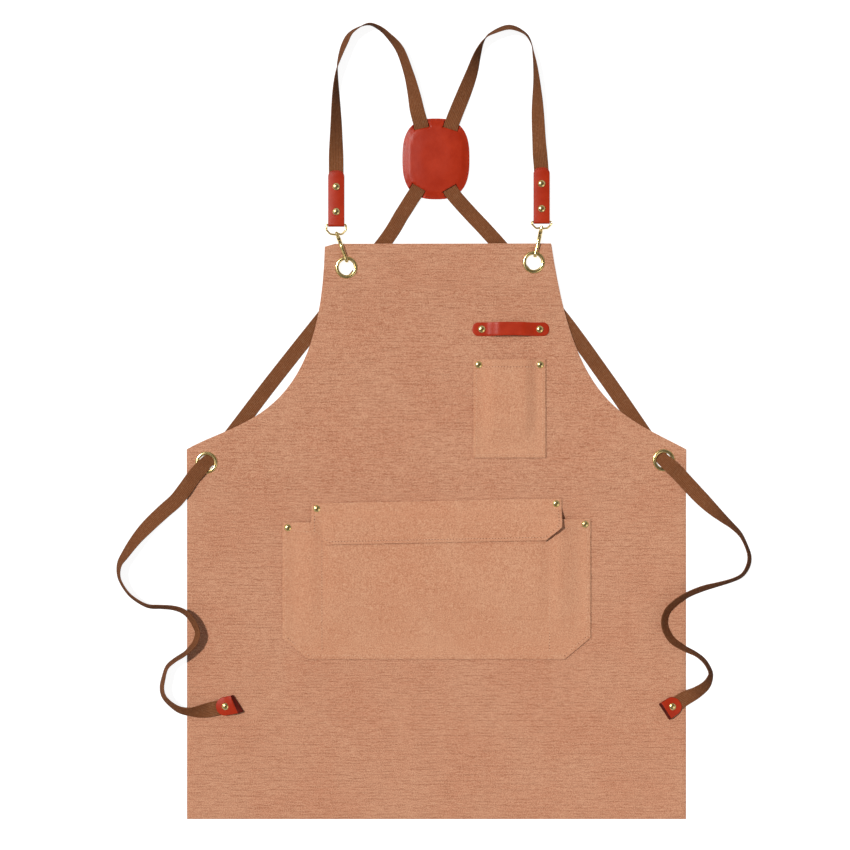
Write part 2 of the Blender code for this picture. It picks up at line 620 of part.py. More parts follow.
def make_webbing():
    for side, route in (("left", LEFT_STRAP), ("right", RIGHT_STRAP)):
        strap = ribbon(side + "_shoulder_strap", route, 12 * MM)
        drill(strap, [(TAB_AXIS[side], TAB_FOOT[side] + rise) for rise in TAB_RIVETS], RIVET_HOLE)
    for side, route in (("left", LEFT_TAIL), ("right", RIGHT_TAIL)):
        tip, back = TIE_TABS[side]
        place = (tip[0] + TIE_RIVET[side] * back[0], tip[1] + TIE_RIVET[side] * back[1])
        tail = ribbon(side + "_tie_tail", route, 8 * MM)
        tab = folded_tab(side + "_tie_tab", tip, back, TIE_TAB_LENGTH[side], TIE_TAB_HALF,
                         OVER_PANEL * MM, 0, TIE_TAB_ROUND)
        drill(tail, [place], RIVET_HOLE)
        drill(tab, [place], RIVET_HOLE)
        make_rivet(side + "_tie_rivet", place, OVER_PANEL * MM,
                   OVER_PANEL * MM + 2 * LEATHER + TAB_CHANNEL)


# --------------------------------------------------------------------- metal
def make_rivet(name, place, foot, seat):
    """A domed cap standing GAP above seat, its post going down to just above foot."""
    under = seat + GAP
    profile = [(0, foot + 0.05 * MM), (RIVET_POST, foot + 0.05 * MM), (RIVET_POST, under),
               (RIVET_CAP, under), (RIVET_CAP, under + 0.23 * RIVET_DOME),
               (0.8 * RIVET_CAP, under + 0.7 * RIVET_DOME),
               (0.42 * RIVET_CAP, under + 0.95 * RIVET_DOME), (0, under + RIVET_DOME)]
    piece(name, turned(profile, 12, (*place, 0)), "gold", smooth=True)


def make_eyelet(name, place, lift):
    low = lift - GAP - WASHER
    flange = lift + CANVAS + GAP
    crown = flange + EYELET_CROWN
    barrel = EYELET_BORE + EYELET_WALL
    profile = [(EYELET_BORE, low), (barrel, low), (barrel, flange), (EYELET_RIM, flange),
               (EYELET_RIM - 0.4 * MM, flange + 0.7 * MM), (EYELET_BORE + 3.2 * MM, crown),
               (EYELET_BORE + 1.4 * MM, crown), (EYELET_BORE, crown - 0.6 * MM)]
    piece(name, turned(profile, EYELET_SIDES, (*place, 0)), "gold", smooth=True)
    washer = [(WASHER_BORE, low), (EYELET_RIM - 1 * MM, low),
              (EYELET_RIM - 1 * MM, low + WASHER), (WASHER_BORE, low + WASHER)]
    piece(name.replace("eyelet", "washer"), turned(washer, EYELET_SIDES, (*place, 0)), "gold",
          smooth=True)


def make_hook(side):
    """Swivel eye, hook body, gate and gate pin, in the hook's own frame: u from the swivel
    to the nose, w sideways, v up."""
    start = Vector(SWIVELS[side])
    along = (Vector(NOSE_AIM[side]) - start).normalized()

    def place(u, w, v):
        return (start.x + u * along.x - w * along.y, start.y + u * along.y + w * along.x,
                EYE_HEIGHT + v)

    def in_place(bm):
        for vert in bm.verts:
            vert.co = place(*vert.co)
        return bm

    def block(low, high):
        return prism([(low[0], low[1]), (high[0], low[1]), (high[0], high[1]),
                      (low[0], high[1])], low[2], high[2])

    def pin(centre, radius, half):
        return loft([[(centre[0] + radius * math.cos(a), w, centre[1] + radius * math.sin(a))
                      for a in (2 * math.pi * k / 12 for k in range(12))] for w in (-half, half)])

    # swivel eye
    x, bar = TAB_AXIS[side], TAB_FOOT[side] + LEATHER + GAP + EYE_WIRE
    half, low = EYE_HALF, start.y
    left_end, right_end = place(0, -2.0 * MM, 0), place(0, 2.0 * MM, 0)
    if left_end[0] > right_end[0]:
        left_end, right_end = right_end, left_end
    loop = [(-0.66, low + 0.8 * MM), (-0.91, low + 3.0 * MM), (-1, low + 6.2 * MM),
            (-0.99, bar - 1.4 * MM), (-0.9, bar)]
    wire = [left_end] + [(x + f * half, y, EYE_HEIGHT) for f, y in loop]
    wire += [(x - f * half, y, EYE_HEIGHT) for f, y in reversed(loop)] + [right_end]
    eye = piece(side + "_hook_eye",
                in_place(turned([(BOSS_BORE, -BOSS_HALF), (BOSS_RADIUS, -BOSS_HALF),
                                 (BOSS_RADIUS, BOSS_HALF), (BOSS_BORE, BOSS_HALF)],
                                12, (0, 0, 0), "U")), "gold", smooth=True)
    boolean(eye, cutter(side + "_eye_wire", tube(wire, [EYE_WIRE] * len(wire))), "UNION")

    # hook body
    head = BOSS_HALF + GAP
    post = [(0, -head - 1.2 * MM), (1.9 * MM, -head - 1.2 * MM), (1.9 * MM, -head),
            (POST_RADIUS, -head), (POST_RADIUS, head), (2.4 * MM, head), (2.4 * MM, 5 * MM),
            (0, 5 * MM)]
    body = piece(side + "_hook", in_place(turned(post, 12, (0, 0, 0), "U")), "gold", smooth=True)
    rise, drop, reach = SPINE_RISE / MM, GATE_DROP / MM, HOOK_REACH / MM
    spine = [(3.6, 0), (6, 0.8), (9, 2.8), (13, 5.9), (17.5, rise), (reach - 7, rise),
             (reach - 2.4, rise), (reach - 0.6, rise - 0.8), (reach, rise - 2.6),
             (reach, drop + 2.6), (reach - 0.5, drop + 0.9), (reach - 1.6, drop)]
    radii = [SPINE_RADIUS] * 6 + [NOSE_RADIUS] * 6
    bar_bm = tube([(u * MM, 0, v * MM) for u, v in spine], radii)
    for vert in bar_bm.verts:
        vert.co.y *= HOOK_FLATNESS
    boolean(body, cutter(side + "_hook_spine", in_place(bar_bm)), "UNION")
    hinge = (9.5 * MM, GATE_DROP)
    lug = block((4.2 * MM, -1.4 * MM, GATE_DROP - 1.2 * MM), (11 * MM, 1.4 * MM, 2.6 * MM))
    boolean(body, cutter(side + "_hook_lug", in_place(lug)), "UNION")
    boolean(body, cutter(side + "_hook_pin_hole", in_place(pin(hinge, 0.9 * MM, 4 * MM))))

    # gate: a bar with two cheeks straddling the lug
    gate_end = HOOK_REACH - 3.2 * MM
    gate = piece(side + "_gate",
                 in_place(tube([(11.6 * MM, 0, GATE_DROP), (gate_end, 0, GATE_DROP)],
                               [GATE_RADIUS] * 2)), "gold", smooth=True)
    cheeks = [block((8.2 * MM, s * 1.7 * MM, GATE_DROP - 1.0 * MM),
                    (12.6 * MM, s * 2.5 * MM, GATE_DROP + 1.0 * MM)) for s in (-1, 1)]
    bridge = block((11.4 * MM, -2.5 * MM, GATE_DROP - 1.0 * MM),
                   (12.6 * MM, 2.5 * MM, GATE_DROP + 1.0 * MM))
    boolean(gate, cutter(side + "_gate_bridge", in_place(bridge)), "UNION")
    for number, cheek in enumerate(cheeks):
        boolean(gate, cutter(f"{side}_gate_cheek_{number}", in_place(cheek)), "UNION")
    boolean(gate, cutter(side + "_gate_pin_hole", in_place(pin(hinge, 0.9 * MM, 4 * MM))))
    piece(side + "_gate_pin", in_place(pin(hinge, 0.7 * MM, 2.8 * MM)), "gold", smooth=True)


# ------------------------------------------------------------------ assembly
make_panel()
make_chest_pocket()
make_kangaroo_pocket()
make_flap()
make_pen_loop()
make_patch()
make_webbing()
for side in ("left", "right"):
    for number, place in enumerate(make_shoulder_tab(side), 1):
        make_rivet(f"{side}_shoulder_rivet_{number}", place, 0, 2 * LEATHER + TAB_CHANNEL)
    make_eyelet(side + "_bib_eyelet", BIB_EYELETS[side], LIFT_BIB)
    make_eyelet(side + "_waist_eyelet", WAIST_EYELETS[side], LIFT_WAIST)
    make_hook(side)
SEATS = {"pen_loop": LEATHER, "chest": POCKET_CANVAS, "kangaroo": POCKET_CANVAS,
         "flap": POCKET_CANVAS}
for group, places in RIVETS.items():
    for side, place in zip(("left", "right"), places):
        foot = panel_lift(place[1])
        make_rivet(f"{group}_{side}_rivet", place, foot, foot + POCKET_LIFT + SEATS[group])
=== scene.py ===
"""Looks of the cross-back work apron: canvas, webbing, leather and pale gold fittings."""
import math
import random

import bmesh
import bpy
from mathutils import Matrix, Vector, noise


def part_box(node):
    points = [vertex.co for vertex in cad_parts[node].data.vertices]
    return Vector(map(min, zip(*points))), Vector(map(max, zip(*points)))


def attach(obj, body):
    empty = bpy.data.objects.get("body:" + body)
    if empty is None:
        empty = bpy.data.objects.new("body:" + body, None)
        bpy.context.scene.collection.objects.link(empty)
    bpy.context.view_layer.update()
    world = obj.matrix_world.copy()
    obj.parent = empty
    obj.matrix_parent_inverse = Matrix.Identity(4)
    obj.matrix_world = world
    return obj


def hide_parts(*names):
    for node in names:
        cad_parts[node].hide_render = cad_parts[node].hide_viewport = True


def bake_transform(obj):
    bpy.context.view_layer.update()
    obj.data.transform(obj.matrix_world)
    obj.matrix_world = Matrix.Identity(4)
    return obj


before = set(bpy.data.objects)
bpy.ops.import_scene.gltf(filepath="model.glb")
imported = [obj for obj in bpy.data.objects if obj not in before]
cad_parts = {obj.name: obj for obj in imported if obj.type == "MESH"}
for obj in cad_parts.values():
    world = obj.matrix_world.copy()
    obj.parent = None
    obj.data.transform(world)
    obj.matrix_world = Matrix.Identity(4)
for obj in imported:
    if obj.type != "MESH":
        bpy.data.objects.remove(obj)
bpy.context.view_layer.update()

bpy.ops.object.select_all(action="DESELECT")

MM = 0.001
SIDES = ("left", "right")

# ------------------------------------------------------------- camera, light
FLOOR_Z = -0.2 * MM
CAMERA_AIM = (-15.7 * MM, -4.0 * MM)
CAMERA_HEIGHT = 2.7356
LENS = 85

camera_data = bpy.data.cameras.new("camera")
camera_data.lens = LENS
camera = bpy.data.objects.new("camera", camera_data)
camera.location = (*CAMERA_AIM, CAMERA_HEIGHT)
bpy.context.scene.collection.objects.link(camera)
bpy.context.scene.camera = camera
bpy.context.scene.view_settings.view_transform = "Standard"


def lamp(name, kind, place, aim, energy, colour, **settings):
    data = bpy.data.lights.new(name, kind)
    data.energy, data.color = energy, colour
    for key, value in settings.items():
        setattr(data, key, value)
    made = bpy.data.objects.new(name, data)
    made.location = place
    made.rotation_euler = (Vector(aim) - Vector(place)).to_track_quat("-Z", "Y").to_euler()
    bpy.context.scene.collection.objects.link(made)


lamp("key", "SUN", (-1.45, 0.75, 3.0), (0, 0, 0), 2.55, (1, 0.99, 0.97), angle=math.radians(4))
lamp("fill", "AREA", (1.5, -1.1, 2.2), (0, 0, 0), 6, (1, 1, 1), shape="DISK", size=1.5)


# ----------------------------------------------------------------- materials
def linear(hexcode):
    """sRGB hex as linear red, green, blue and alpha."""
    parts = [int(hexcode[i:i + 2], 16) / 255 for i in (0, 2, 4)]
    return (*(c / 12.92 if c <= 0.04045 else ((c + 0.055) / 1.055) ** 2.4 for c in parts), 1)


def add(tree, kind, settings=None, **links):
    """Adds a node. settings holds its properties and input values, links its linked inputs,
    whose names are written with _ for a space."""
    node = tree.nodes.new("ShaderNode" + kind)
    for key, value in (settings or {}).items():
        if isinstance(key, int) or key in node.inputs:
            node.inputs[key].default_value = value
        else:
            setattr(node, key, value)
    for key, socket in links.items():
        slot = int(key[1:]) if key[0] == "i" and key[1:].isdigit() else key.replace("_", " ")
        tree.links.new(node.inputs[slot], socket)
    return node


def new_material(name, roughness, metallic=0.0, **fixed):
    made = bpy.data.materials.new(name)
    made.use_nodes = True
    shader = made.node_tree.nodes["Principled BSDF"]
    shader.inputs["Roughness"].default_value = roughness
    shader.inputs["Metallic"].default_value = metallic
    for key, value in fixed.items():
        shader.inputs[key.replace("_", " ")].default_value = value
    return made, made.node_tree, shader


def mapped(tree, coordinate, scale, turn=0.0):
    """Coordinates times scale, one number for each axis, in 1/m, turned about Z first."""
    source = add(tree, "TexCoord").outputs[coordinate]
    return add(tree, "Mapping", {"Scale": scale, "Rotation": (0, 0, turn)},
               Vector=source).outputs[0]


def noise_map(tree, vector, scale, detail=3.0, rough=0.5):
    return add(tree, "TexNoise", {"Scale": scale, "Detail": detail, "Roughness": rough},
               Vector=vector).outputs[0]


def ramped(tree, value, low, high):
    """value stretched so that low gives 0 and high gives 1, held between."""
    return add(tree, "MapRange", {"From Min": low, "From Max": high}, Value=value).outputs[0]


def maths(tree, operation, a, b):
    node = add(tree, "Math", {"operation": operation})
    for slot, value in enumerate((a, b)):
        if isinstance(value, (int, float)):
            node.inputs[slot].default_value = value
        else:
            tree.links.new(node.inputs[slot], value)
    return node.outputs[0]


def blended(tree, share, a, b, mode="MIX"):
    """Colour b over colour a by share; a and b are hex codes or sockets."""
    node = add(tree, "Mix", {"data_type": "RGBA", "blend_type": mode, "clamp_factor": True})
    for slot, value in ((0, share), (6, a), (7, b)):
        if isinstance(value, str):
            node.inputs[slot].default_value = linear(value)
        elif isinstance(value, (int, float)):
            node.inputs[slot].default_value = value
        else:
            tree.links.new(node.inputs[slot], value)
    return node.outputs[2]


def bumped(tree, shader, *layers):
    """Bump from (height socket, depth in metres) layers, one on another."""
    normal = None
    for height, depth in layers:
        node = add(tree, "Bump", {"Strength": 1.0, "Distance": depth}, Height=height)
        if normal:
            tree.links.new(node.inputs["Normal"], normal)
        normal = node.outputs[0]
    tree.links.new(shader.inputs["Normal"], normal)


def washed_canvas(name, main, pale, deep, slub, clouding):
    """Stone-washed cotton duck: weft yarns that run across and swell into slubs, with dye
    rubbed off the crowns, so the eye sees fine level pale and dark lines in a dusty ground."""
    made, tree, shader = new_material(name, 0.95, Sheen_Weight=0.04, Sheen_Roughness=0.5)
    shader.inputs["Specular IOR Level"].default_value = 0.1
    still = mapped(tree, "Object", (1, 1, 1))
    clouds = noise_map(tree, still, 11, 3, 0.55)                   # 90 mm washed patches
    wisps = noise_map(tree, mapped(tree, "Object", (26, 10, 10), 0.5), 1, 3, 0.6)
    # A yarn is 0.8 mm; the lines are drawn 1.3 and 2.6 mm wide so that they show.
    weft = noise_map(tree, mapped(tree, "Object", (48, 520, 30)), 1, 2, 0.6)
    fine = noise_map(tree, mapped(tree, "Object", (110, 820, 60)), 1, 2, 0.6)
    slubs = noise_map(tree, mapped(tree, "Object", (24, 620, 30)), 1, 1, 0.5)
    warp = noise_map(tree, mapped(tree, "Object", (620, 90, 60)), 1, 2, 0.6)
    # Every fifth weft yarn is thicker: lines 4.1 mm apart, broken up along their length.
    level = add(tree, "SeparateXYZ", Vector=still).outputs[1]
    wander = maths(tree, "MULTIPLY", noise_map(tree, mapped(tree, "Object", (30, 12, 10)), 1, 2),
                   7.0)
    level = maths(tree, "ADD", maths(tree, "MULTIPLY", level, 2 * math.pi / (4.1 * MM)), wander)
    lines = ramped(tree, maths(tree, "SINE", level, 0), 0.1, 0.95)
    broken = noise_map(tree, mapped(tree, "Object", (38, 240, 30)), 1, 1)
    lines = maths(tree, "MULTIPLY", lines, ramped(tree, broken, 0.42, 0.6))
    grain = noise_map(tree, still, 780, 2, 0.65)                   # 1.3 mm worn crowns
    layers = ((clouds, 0.4, 0.62, clouding, pale), (wisps, 0.58, 0.78, 0.25, pale),
              (weft, 0.5, 0.68, 0.32 * slub, deep), (fine, 0.5, 0.66, 0.4 * slub, deep),
              (fine, 0.46, 0.32, 0.45 * slub, pale), (slubs, 0.64, 0.74, 0.5 * slub, deep),
              (lines, 0, 1, 0.42 * slub, deep),
              (warp, 0.55, 0.72, 0.3, deep), (grain, 0.5, 0.62, 0.75, pale),
              (grain, 0.47, 0.36, 0.5, deep))
    colour = main
    for field, low, high, most, tint in layers:
        share = maths(tree, "MULTIPLY", ramped(tree, field, low, high), most)
        colour = blended(tree, share, colour, tint)
    tree.links.new(shader.inputs["Base Color"], colour)
    bumped(tree, shader, (lines, -0.25 * MM * slub), (weft, 0.3 * MM * slub), (warp, 0.3 * MM),
           (grain, 0.4 * MM))
    return made


def cotton_webbing():
    """Heavy cotton webbing, woven in lengthwise cords whose yarns lean left and right in turn,
    so the eye sees a fine herringbone; the crowns are painted lighter as highlights and the
    grooves darker as shade."""
    made, tree, shader = new_material("cotton_webbing", 0.92)
    shader.inputs["Specular IOR Level"].default_value = 0.06
    parts = add(tree, "SeparateXYZ", Vector=add(tree, "UVMap").outputs[0])
    across, along = parts.outputs[0], parts.outputs[1]
    cords = 9
    cord = maths(tree, "MULTIPLY", across, cords)
    ridge = maths(tree, "ABSOLUTE", maths(tree, "SINE", maths(tree, "MULTIPLY", cord, math.pi), 0), 0)
    zigzag = maths(tree, "PINGPONG", cord, 1.0)
    # A pick is 1 mm; it is drawn 1.7 mm long so that it shows.
    pick = maths(tree, "ADD", maths(tree, "MULTIPLY", along, 1 / (1.7 * MM)), zigzag)
    pick = maths(tree, "SINE", maths(tree, "MULTIPLY", pick, 2 * math.pi), 0)
    pick = ramped(tree, pick, -1, 1)
    height = maths(tree, "MULTIPLY", maths(tree, "ADD", maths(tree, "MULTIPLY", pick, 0.6), 0.4),
                   maths(tree, "POWER", ridge, 0.6))
    wear = noise_map(tree, mapped(tree, "Object", (1, 1, 1)), 320, 3, 0.6)
    cloud = noise_map(tree, mapped(tree, "Object", (1, 1, 1)), 30, 2)
    # painted highlight and shade: the weave's crowns are coloured lighter and its grooves darker by their
    # height
    colour = blended(tree, ramped(tree, height, 0.05, 0.8), "5E3520", "935D3B")
    colour = blended(tree, maths(tree, "MULTIPLY", ramped(tree, wear, 0.5, 0.75), 0.35), colour, "A47B5C")
    colour = blended(tree, maths(tree, "MULTIPLY", ramped(tree, cloud, 0.45, 0.7), 0.25), colour, "6B4128")
    tree.links.new(shader.inputs["Base Color"], colour)
    bumped(tree, shader, (height, 0.45 * MM), (wear, 0.2 * MM))
    return made


def finished_leather(name, main, deep, gloss):
    """Smooth cow leather with a pigment finish: even red brown, a fine pebble and a soft
    satin gloss that breaks up a little where it has been handled."""
    made, tree, shader = new_material(name, gloss)
    shader.inputs["Specular IOR Level"].default_value = 0.18
    still = mapped(tree, "Object", (1, 1, 1))
    cloud = noise_map(tree, still, 45, 3, 0.6)
    pores = add(tree, "TexVoronoi", {"Scale": 1100, "feature": "F1"}, Vector=still).outputs[0]
    creases = noise_map(tree, still, 420, 4, 0.65)
    colour = blended(tree, ramped(tree, cloud, 0.35, 0.68), deep, main)
    colour = blended(tree, maths(tree, "MULTIPLY", ramped(tree, creases, 0.6, 0.8), 0.25), colour, deep)
    tree.links.new(shader.inputs["Base Color"], colour)
    shine = add(tree, "MapRange", {"To Min": gloss - 0.07, "To Max": gloss + 0.1}, Value=cloud)
    tree.links.new(shader.inputs["Roughness"], shine.outputs[0])
    bumped(tree, shader, (pores, 0.05 * MM), (creases, 0.08 * MM))
    return made


def plated_gold(name="pale_gold_plate"):
    """Zinc die castings and steel caps with pale gold plate, barrel polished: a bright warm
    sheen, softened by faint waves and handling marks."""
    made, tree, shader = new_material(name, 0.22, 1.0)
    still = mapped(tree, "Object", (1, 1, 1))
    waves = noise_map(tree, still, 260, 2)
    marks = noise_map(tree, mapped(tree, "Object", (300, 2600, 900)), 1, 2)
    colour = blended(tree, ramped(tree, waves, 0.35, 0.7), "E9C77C", "F4DDA0")
    tree.links.new(shader.inputs["Base Color"], colour)
    shine = add(tree, "MapRange", {"To Min": 0.16, "To Max": 0.3}, Value=marks)
    tree.links.new(shader.inputs["Roughness"], shine.outputs[0])
    bumped(tree, shader, (waves, 0.04 * MM))
    return made


def sewing_thread(name, main, deep):
    """Three-ply polyester core thread: the ply twist shows as small slanting bands."""
    made, tree, shader = new_material(name, 0.6, Sheen_Weight=0.2)
    twist = noise_map(tree, mapped(tree, "Object", (1500, 1500, 1500)), 1, 1)
    colour = blended(tree, ramped(tree, twist, 0.4, 0.6), deep, main)
    tree.links.new(shader.inputs["Base Color"], colour)
    return made


CANVAS = washed_canvas("washed_cotton_duck", "CB8D6E", "DBAA8A", "9E6043", 1.0, 0.3)
POCKET = washed_canvas("washed_cotton_twill", "CE906F", "DEAE8D", "A56747", 0.3, 0.22)
WEBBING = cotton_webbing()
# painted shade: a dark canvas for the rims of the pockets and flap, their outer ring on the top and right
# sides, and the needle holes of the canvas stitches
EDGE = washed_canvas("unfaded_canvas_crease", "6E331D", "85452A", "552414", 0.3, 0.3)
LEATHER = finished_leather("pigment_finished_leather", "B43214", "A62A10", 0.34)
# painted shade: a dark leather for a tie tab's fold between its tip and its ridge
FOLD_PAINTED_SHADE = finished_leather("burnished_leather_fold", "6A1E12", "4A140C", 0.5)
# real edge paint on the leather's cut rims; also painted shade in the needle holes of the leather stitches
LEATHER_EDGE_PAINT_AND_HOLE_SHADE = finished_leather("painted_leather_edge", "7C2413", "5F190C", 0.55)
GOLD = plated_gold()
THREAD = sewing_thread("canvas_sewing_thread", "E6BE9F", "C08A6A")
RED_THREAD = sewing_thread("leather_sewing_thread", "8E2A18", "5E170B")


# ------------------------------------------------------- sizes from the frame
def middle(node):
    low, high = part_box(node)
    return Vector(((low[0] + high[0]) / 2, (low[1] + high[1]) / 2, (low[2] + high[2]) / 2))


GAP = 0.3 * MM
CANVAS_THICK = 1.0 * MM
POCKET_THICK = 0.9 * MM
LEATHER_THICK = 1.2 * MM
WEB_THICK = 1.3 * MM
WEB_WIDTH = 20 * MM
LIFT_WAIST = 2.4 * MM
LIFT_BIB = 5.5 * MM
POCKET_LIFT = CANVAS_THICK + GAP
TAB_CHANNEL = WEB_THICK + 2 * GAP


# ------------------------------------------------------------------- helpers
def ease(value, low, high):
    t = min(1.0, max(0.0, (value - low) / (high - low)))
    return t * t * (3 - 2 * t)


def wave(x, y, size, seed):
    """A soft random height between -1 and 1, about size across."""
    return noise.noise(Vector((x / size, y / size, seed * 7.3)))


def from_bmesh(name, bm, material, sharp=45):
    bmesh.ops.recalc_face_normals(bm, faces=bm.faces[:])
    mesh = bpy.data.meshes.new(name)
    bm.to_mesh(mesh)
    bm.free()
    made = bpy.data.objects.new(name, mesh)
    bpy.context.scene.collection.objects.link(made)
    mesh.materials.append(material)
    mesh.shade_smooth()
    mesh.set_sharp_from_angle(angle=math.radians(sharp))
    return made


def only(obj):
    bpy.ops.object.select_all(action="DESELECT")
    obj.select_set(True)
    bpy.context.view_layer.objects.active = obj


def apply_modifier(obj, kind, **settings):
    only(obj)
    modifier = obj.modifiers.new(kind, kind)
    for key, value in settings.items():
        setattr(modifier, key, value)
    bpy.ops.object.modifier_apply(modifier=modifier.name)


def cut(obj, tool, operation="DIFFERENCE"):
    apply_modifier(obj, "BOOLEAN", object=tool, operation=operation, solver="EXACT")
    bpy.data.objects.remove(tool, do_unlink=True)


def smooth_curve(points, spacing):
    """Points along a Catmull-Rom curve through the given tuples, about spacing apart."""
    ends = [points[0]] + list(points) + [points[-1]]
    out = []
    for i in range(1, len(ends) - 2):
        a, b, c, d = ends[i - 1], ends[i], ends[i + 1], ends[i + 2]
        steps = max(1, round(math.dist(b[:2], c[:2]) / spacing))
        for s in range(steps):
            t = s / steps
            out.append(tuple(
                0.5 * (2 * q + (r - p) * t + (2 * p - 5 * q + 4 * r - e) * t * t
                       + (3 * q - p - 3 * r + e) * t ** 3)
                for p, q, r, e in zip(a, b, c, d)))
    out.append(tuple(points[-1]))
    return out


# ------------------------------------------------------------------- webbing
def ribbon_frame(path, i):
    """Centre, across and outward vectors of the webbing at point i of a route."""
    x, y, base, roll, width = path[i]
    ahead = path[min(i + 1, len(path) - 1)]
    behind = path[max(i - 1, 0)]
    along = Vector((ahead[0] - behind[0], ahead[1] - behind[1], 0)).normalized()
    left = Vector((-along.y, along.x, 0))
    turn = math.radians(roll)
    across = left * math.cos(turn) + Vector((0, 0, math.sin(turn)))
    out = Vector((0, 0, math.cos(turn))) - left * math.sin(turn)
    rise = max(base, 0) + width / 2 * abs(math.sin(turn)) + WEB_THICK / 2 * abs(math.cos(turn))
    return Vector((x, y, rise)), across, out


# The section of the webbing: share of the half width, share of the half thickness.
SECTION = [(-0.97, -0.75), (-0.85, -1), (-0.45, -0.93), (0, -1), (0.45, -0.93), (0.85, -1),
           (0.97, -0.75), (1, 0), (0.97, 0.75), (0.85, 1), (0.45, 0.93), (0, 1), (-0.45, 0.93),
           (-0.85, 1), (-0.97, 0.75), (-1, 0)]


def webbing(name, route, cup=None, trim=0):
    """Woven webbing along a route of (x, y, base, roll, width), with a UV map of share across
    and metres along. cup(i, count) bends its edges down by that height. Returns the piece
    and its centre line."""
    path = smooth_curve(route, 3 * MM)
    if trim:
        path = path[:-trim]
    bm = bmesh.new()
    uv = bm.loops.layers.uv.new("webbing")
    rings, centres, run = [], [], [0.0]
    for i, row in enumerate(path):
        centre, across, out = ribbon_frame(path, i)
        if centres:
            run.append(run[-1] + (centre - centres[-1]).length)
        centres.append(centre)
        sag = cup(i, len(path)) if cup else 0
        rings.append([bm.verts.new(centre + across * row[4] / 2 * a
                                   + out * (WEB_THICK / 2 * b - sag * a * a))
                      for a, b in SECTION])
    count = len(SECTION)
    for i in range(len(rings) - 1):
        for k in range(count):
            j = (k + 1) % count
            face = bm.faces.new((rings[i][k], rings[i][j], rings[i + 1][j], rings[i + 1][k]))
            for loop, (corner, row) in zip(face.loops, ((k, i), (j, i), (j, i + 1), (k, i + 1))):
                loop[uv].uv = ((SECTION[corner][0] + 1) / 2, run[row])
    for ring, distance in ((rings[0], run[0]), (rings[-1], run[-1])):
        for loop, (a, b) in zip(bm.faces.new(ring).loops, SECTION):
            loop[uv].uv = ((a + 1) / 2, distance)
    return from_bmesh(name, bm, WEBBING), centres, run[-1]


def in_mm(*rows):
    return [(x * MM, y * MM, base * MM, roll, rest[0] * MM if rest else WEB_WIDTH)
            for x, y, base, roll, *rest in rows]


IN_HOLE, OVER_RIM, OVER_CORNER, OVER_PANEL, IN_TIE_TAB = 1.7, 5.4, 3.8, 1.4, 2.9
LEFT_TAIL = in_mm(
    (-310.6, -52.2, IN_HOLE, 0, 13), (-317.3, -59.7, OVER_RIM, 0, 14),
    (-324, -67.1, OVER_RIM, 0), (-331.5, -76, OVER_CORNER, 0), (-343, -92, OVER_CORNER, 0),
    (-355, -107, 2.6, 0), (-372, -122, 0, 8), (-392, -141, 0, 18), (-408.5, -159.5, 0, 37),
    (-423, -180, 0, 52), (-431, -194, 0, 64), (-431, -212, 0, 71), (-421, -230, 0, 72),
    (-408.5, -241.5, 0, 71), (-392, -250, 0, 70), (-376, -251, 0.4, 70),
    (-360, -252, OVER_PANEL, 68), (-347, -255.5, OVER_PANEL, 64), (-336.5, -263, OVER_PANEL, 62),
    (-328, -276, OVER_PANEL, 62), (-324.5, -287.5, OVER_PANEL, 64),
    (-328.5, -300.5, OVER_PANEL, 68), (-337, -310, OVER_PANEL, 73),
    (-343, -315.5, OVER_PANEL, 75), (-355, -323, OVER_PANEL, 76), (-366, -333, 0.4, 74),
    (-371, -348.5, 0, 70), (-373, -361.5, 0.4, 67), (-370, -373, OVER_PANEL, 64),
    (-361, -383, OVER_PANEL, 61), (-348.5, -391, OVER_PANEL, 54), (-333, -394, OVER_PANEL, 45),
    (-318, -393.2, 2.1, 18), (-307.5, -391.2, IN_TIE_TAB, 0), (-300.5, -389.7, IN_TIE_TAB, 0),
    (-290, -387.4, IN_TIE_TAB, 0), (-276, -384.2, IN_TIE_TAB, 0))
RIGHT_TAIL = in_mm(
    (306.3, -49.2, IN_HOLE, 0, 13), (313.7, -55.9, OVER_RIM, 0, 14),
    (321, -62.6, OVER_RIM, 0), (328.5, -69.5, OVER_CORNER, 0), (342, -84, OVER_CORNER, 0),
    (355, -98, 2.6, 0), (373, -116, 0, -26), (388, -129.5, 0, -49), (401, -140.5, 0, -64),
    (413, -153, 0, -69), (421, -169, 0, -71), (425, -183, 0, -67), (423, -196, 0, -65),
    (415, -208, 0, -68), (401, -215, 0, -70), (380.5, -221, 0, -67), (362, -226, 0.9, -62),
    (342, -234, OVER_PANEL, -61), (325, -245, OVER_PANEL, -58), (313.5, -257, OVER_PANEL, -57),
    (309.5, -271, OVER_PANEL, -57), (312.5, -284.5, OVER_PANEL, -58), (321, -297, OVER_PANEL, -62),
    (336, -307, OVER_PANEL, -70), (352, -315, OVER_PANEL, -75), (364, -325, 0.4, -72),
    (371.5, -338, 0, -69), (371.5, -347, 0, -58), (366, -358, 0.5, -42),
    (354, -367.5, OVER_PANEL, -27), (342, -374, 2.3, -9), (333.5, -379, IN_TIE_TAB, 0),
    (322, -386.4, IN_TIE_TAB, 0), (315.5, -390.6, IN_TIE_TAB, 0))
STRAP_IN_TAB, OVER_BORDER, IN_SLIT, UNDER_CROSSING, OVER_CROSSING = 1.5, 3.1, 2.0, 1.6, 3.2
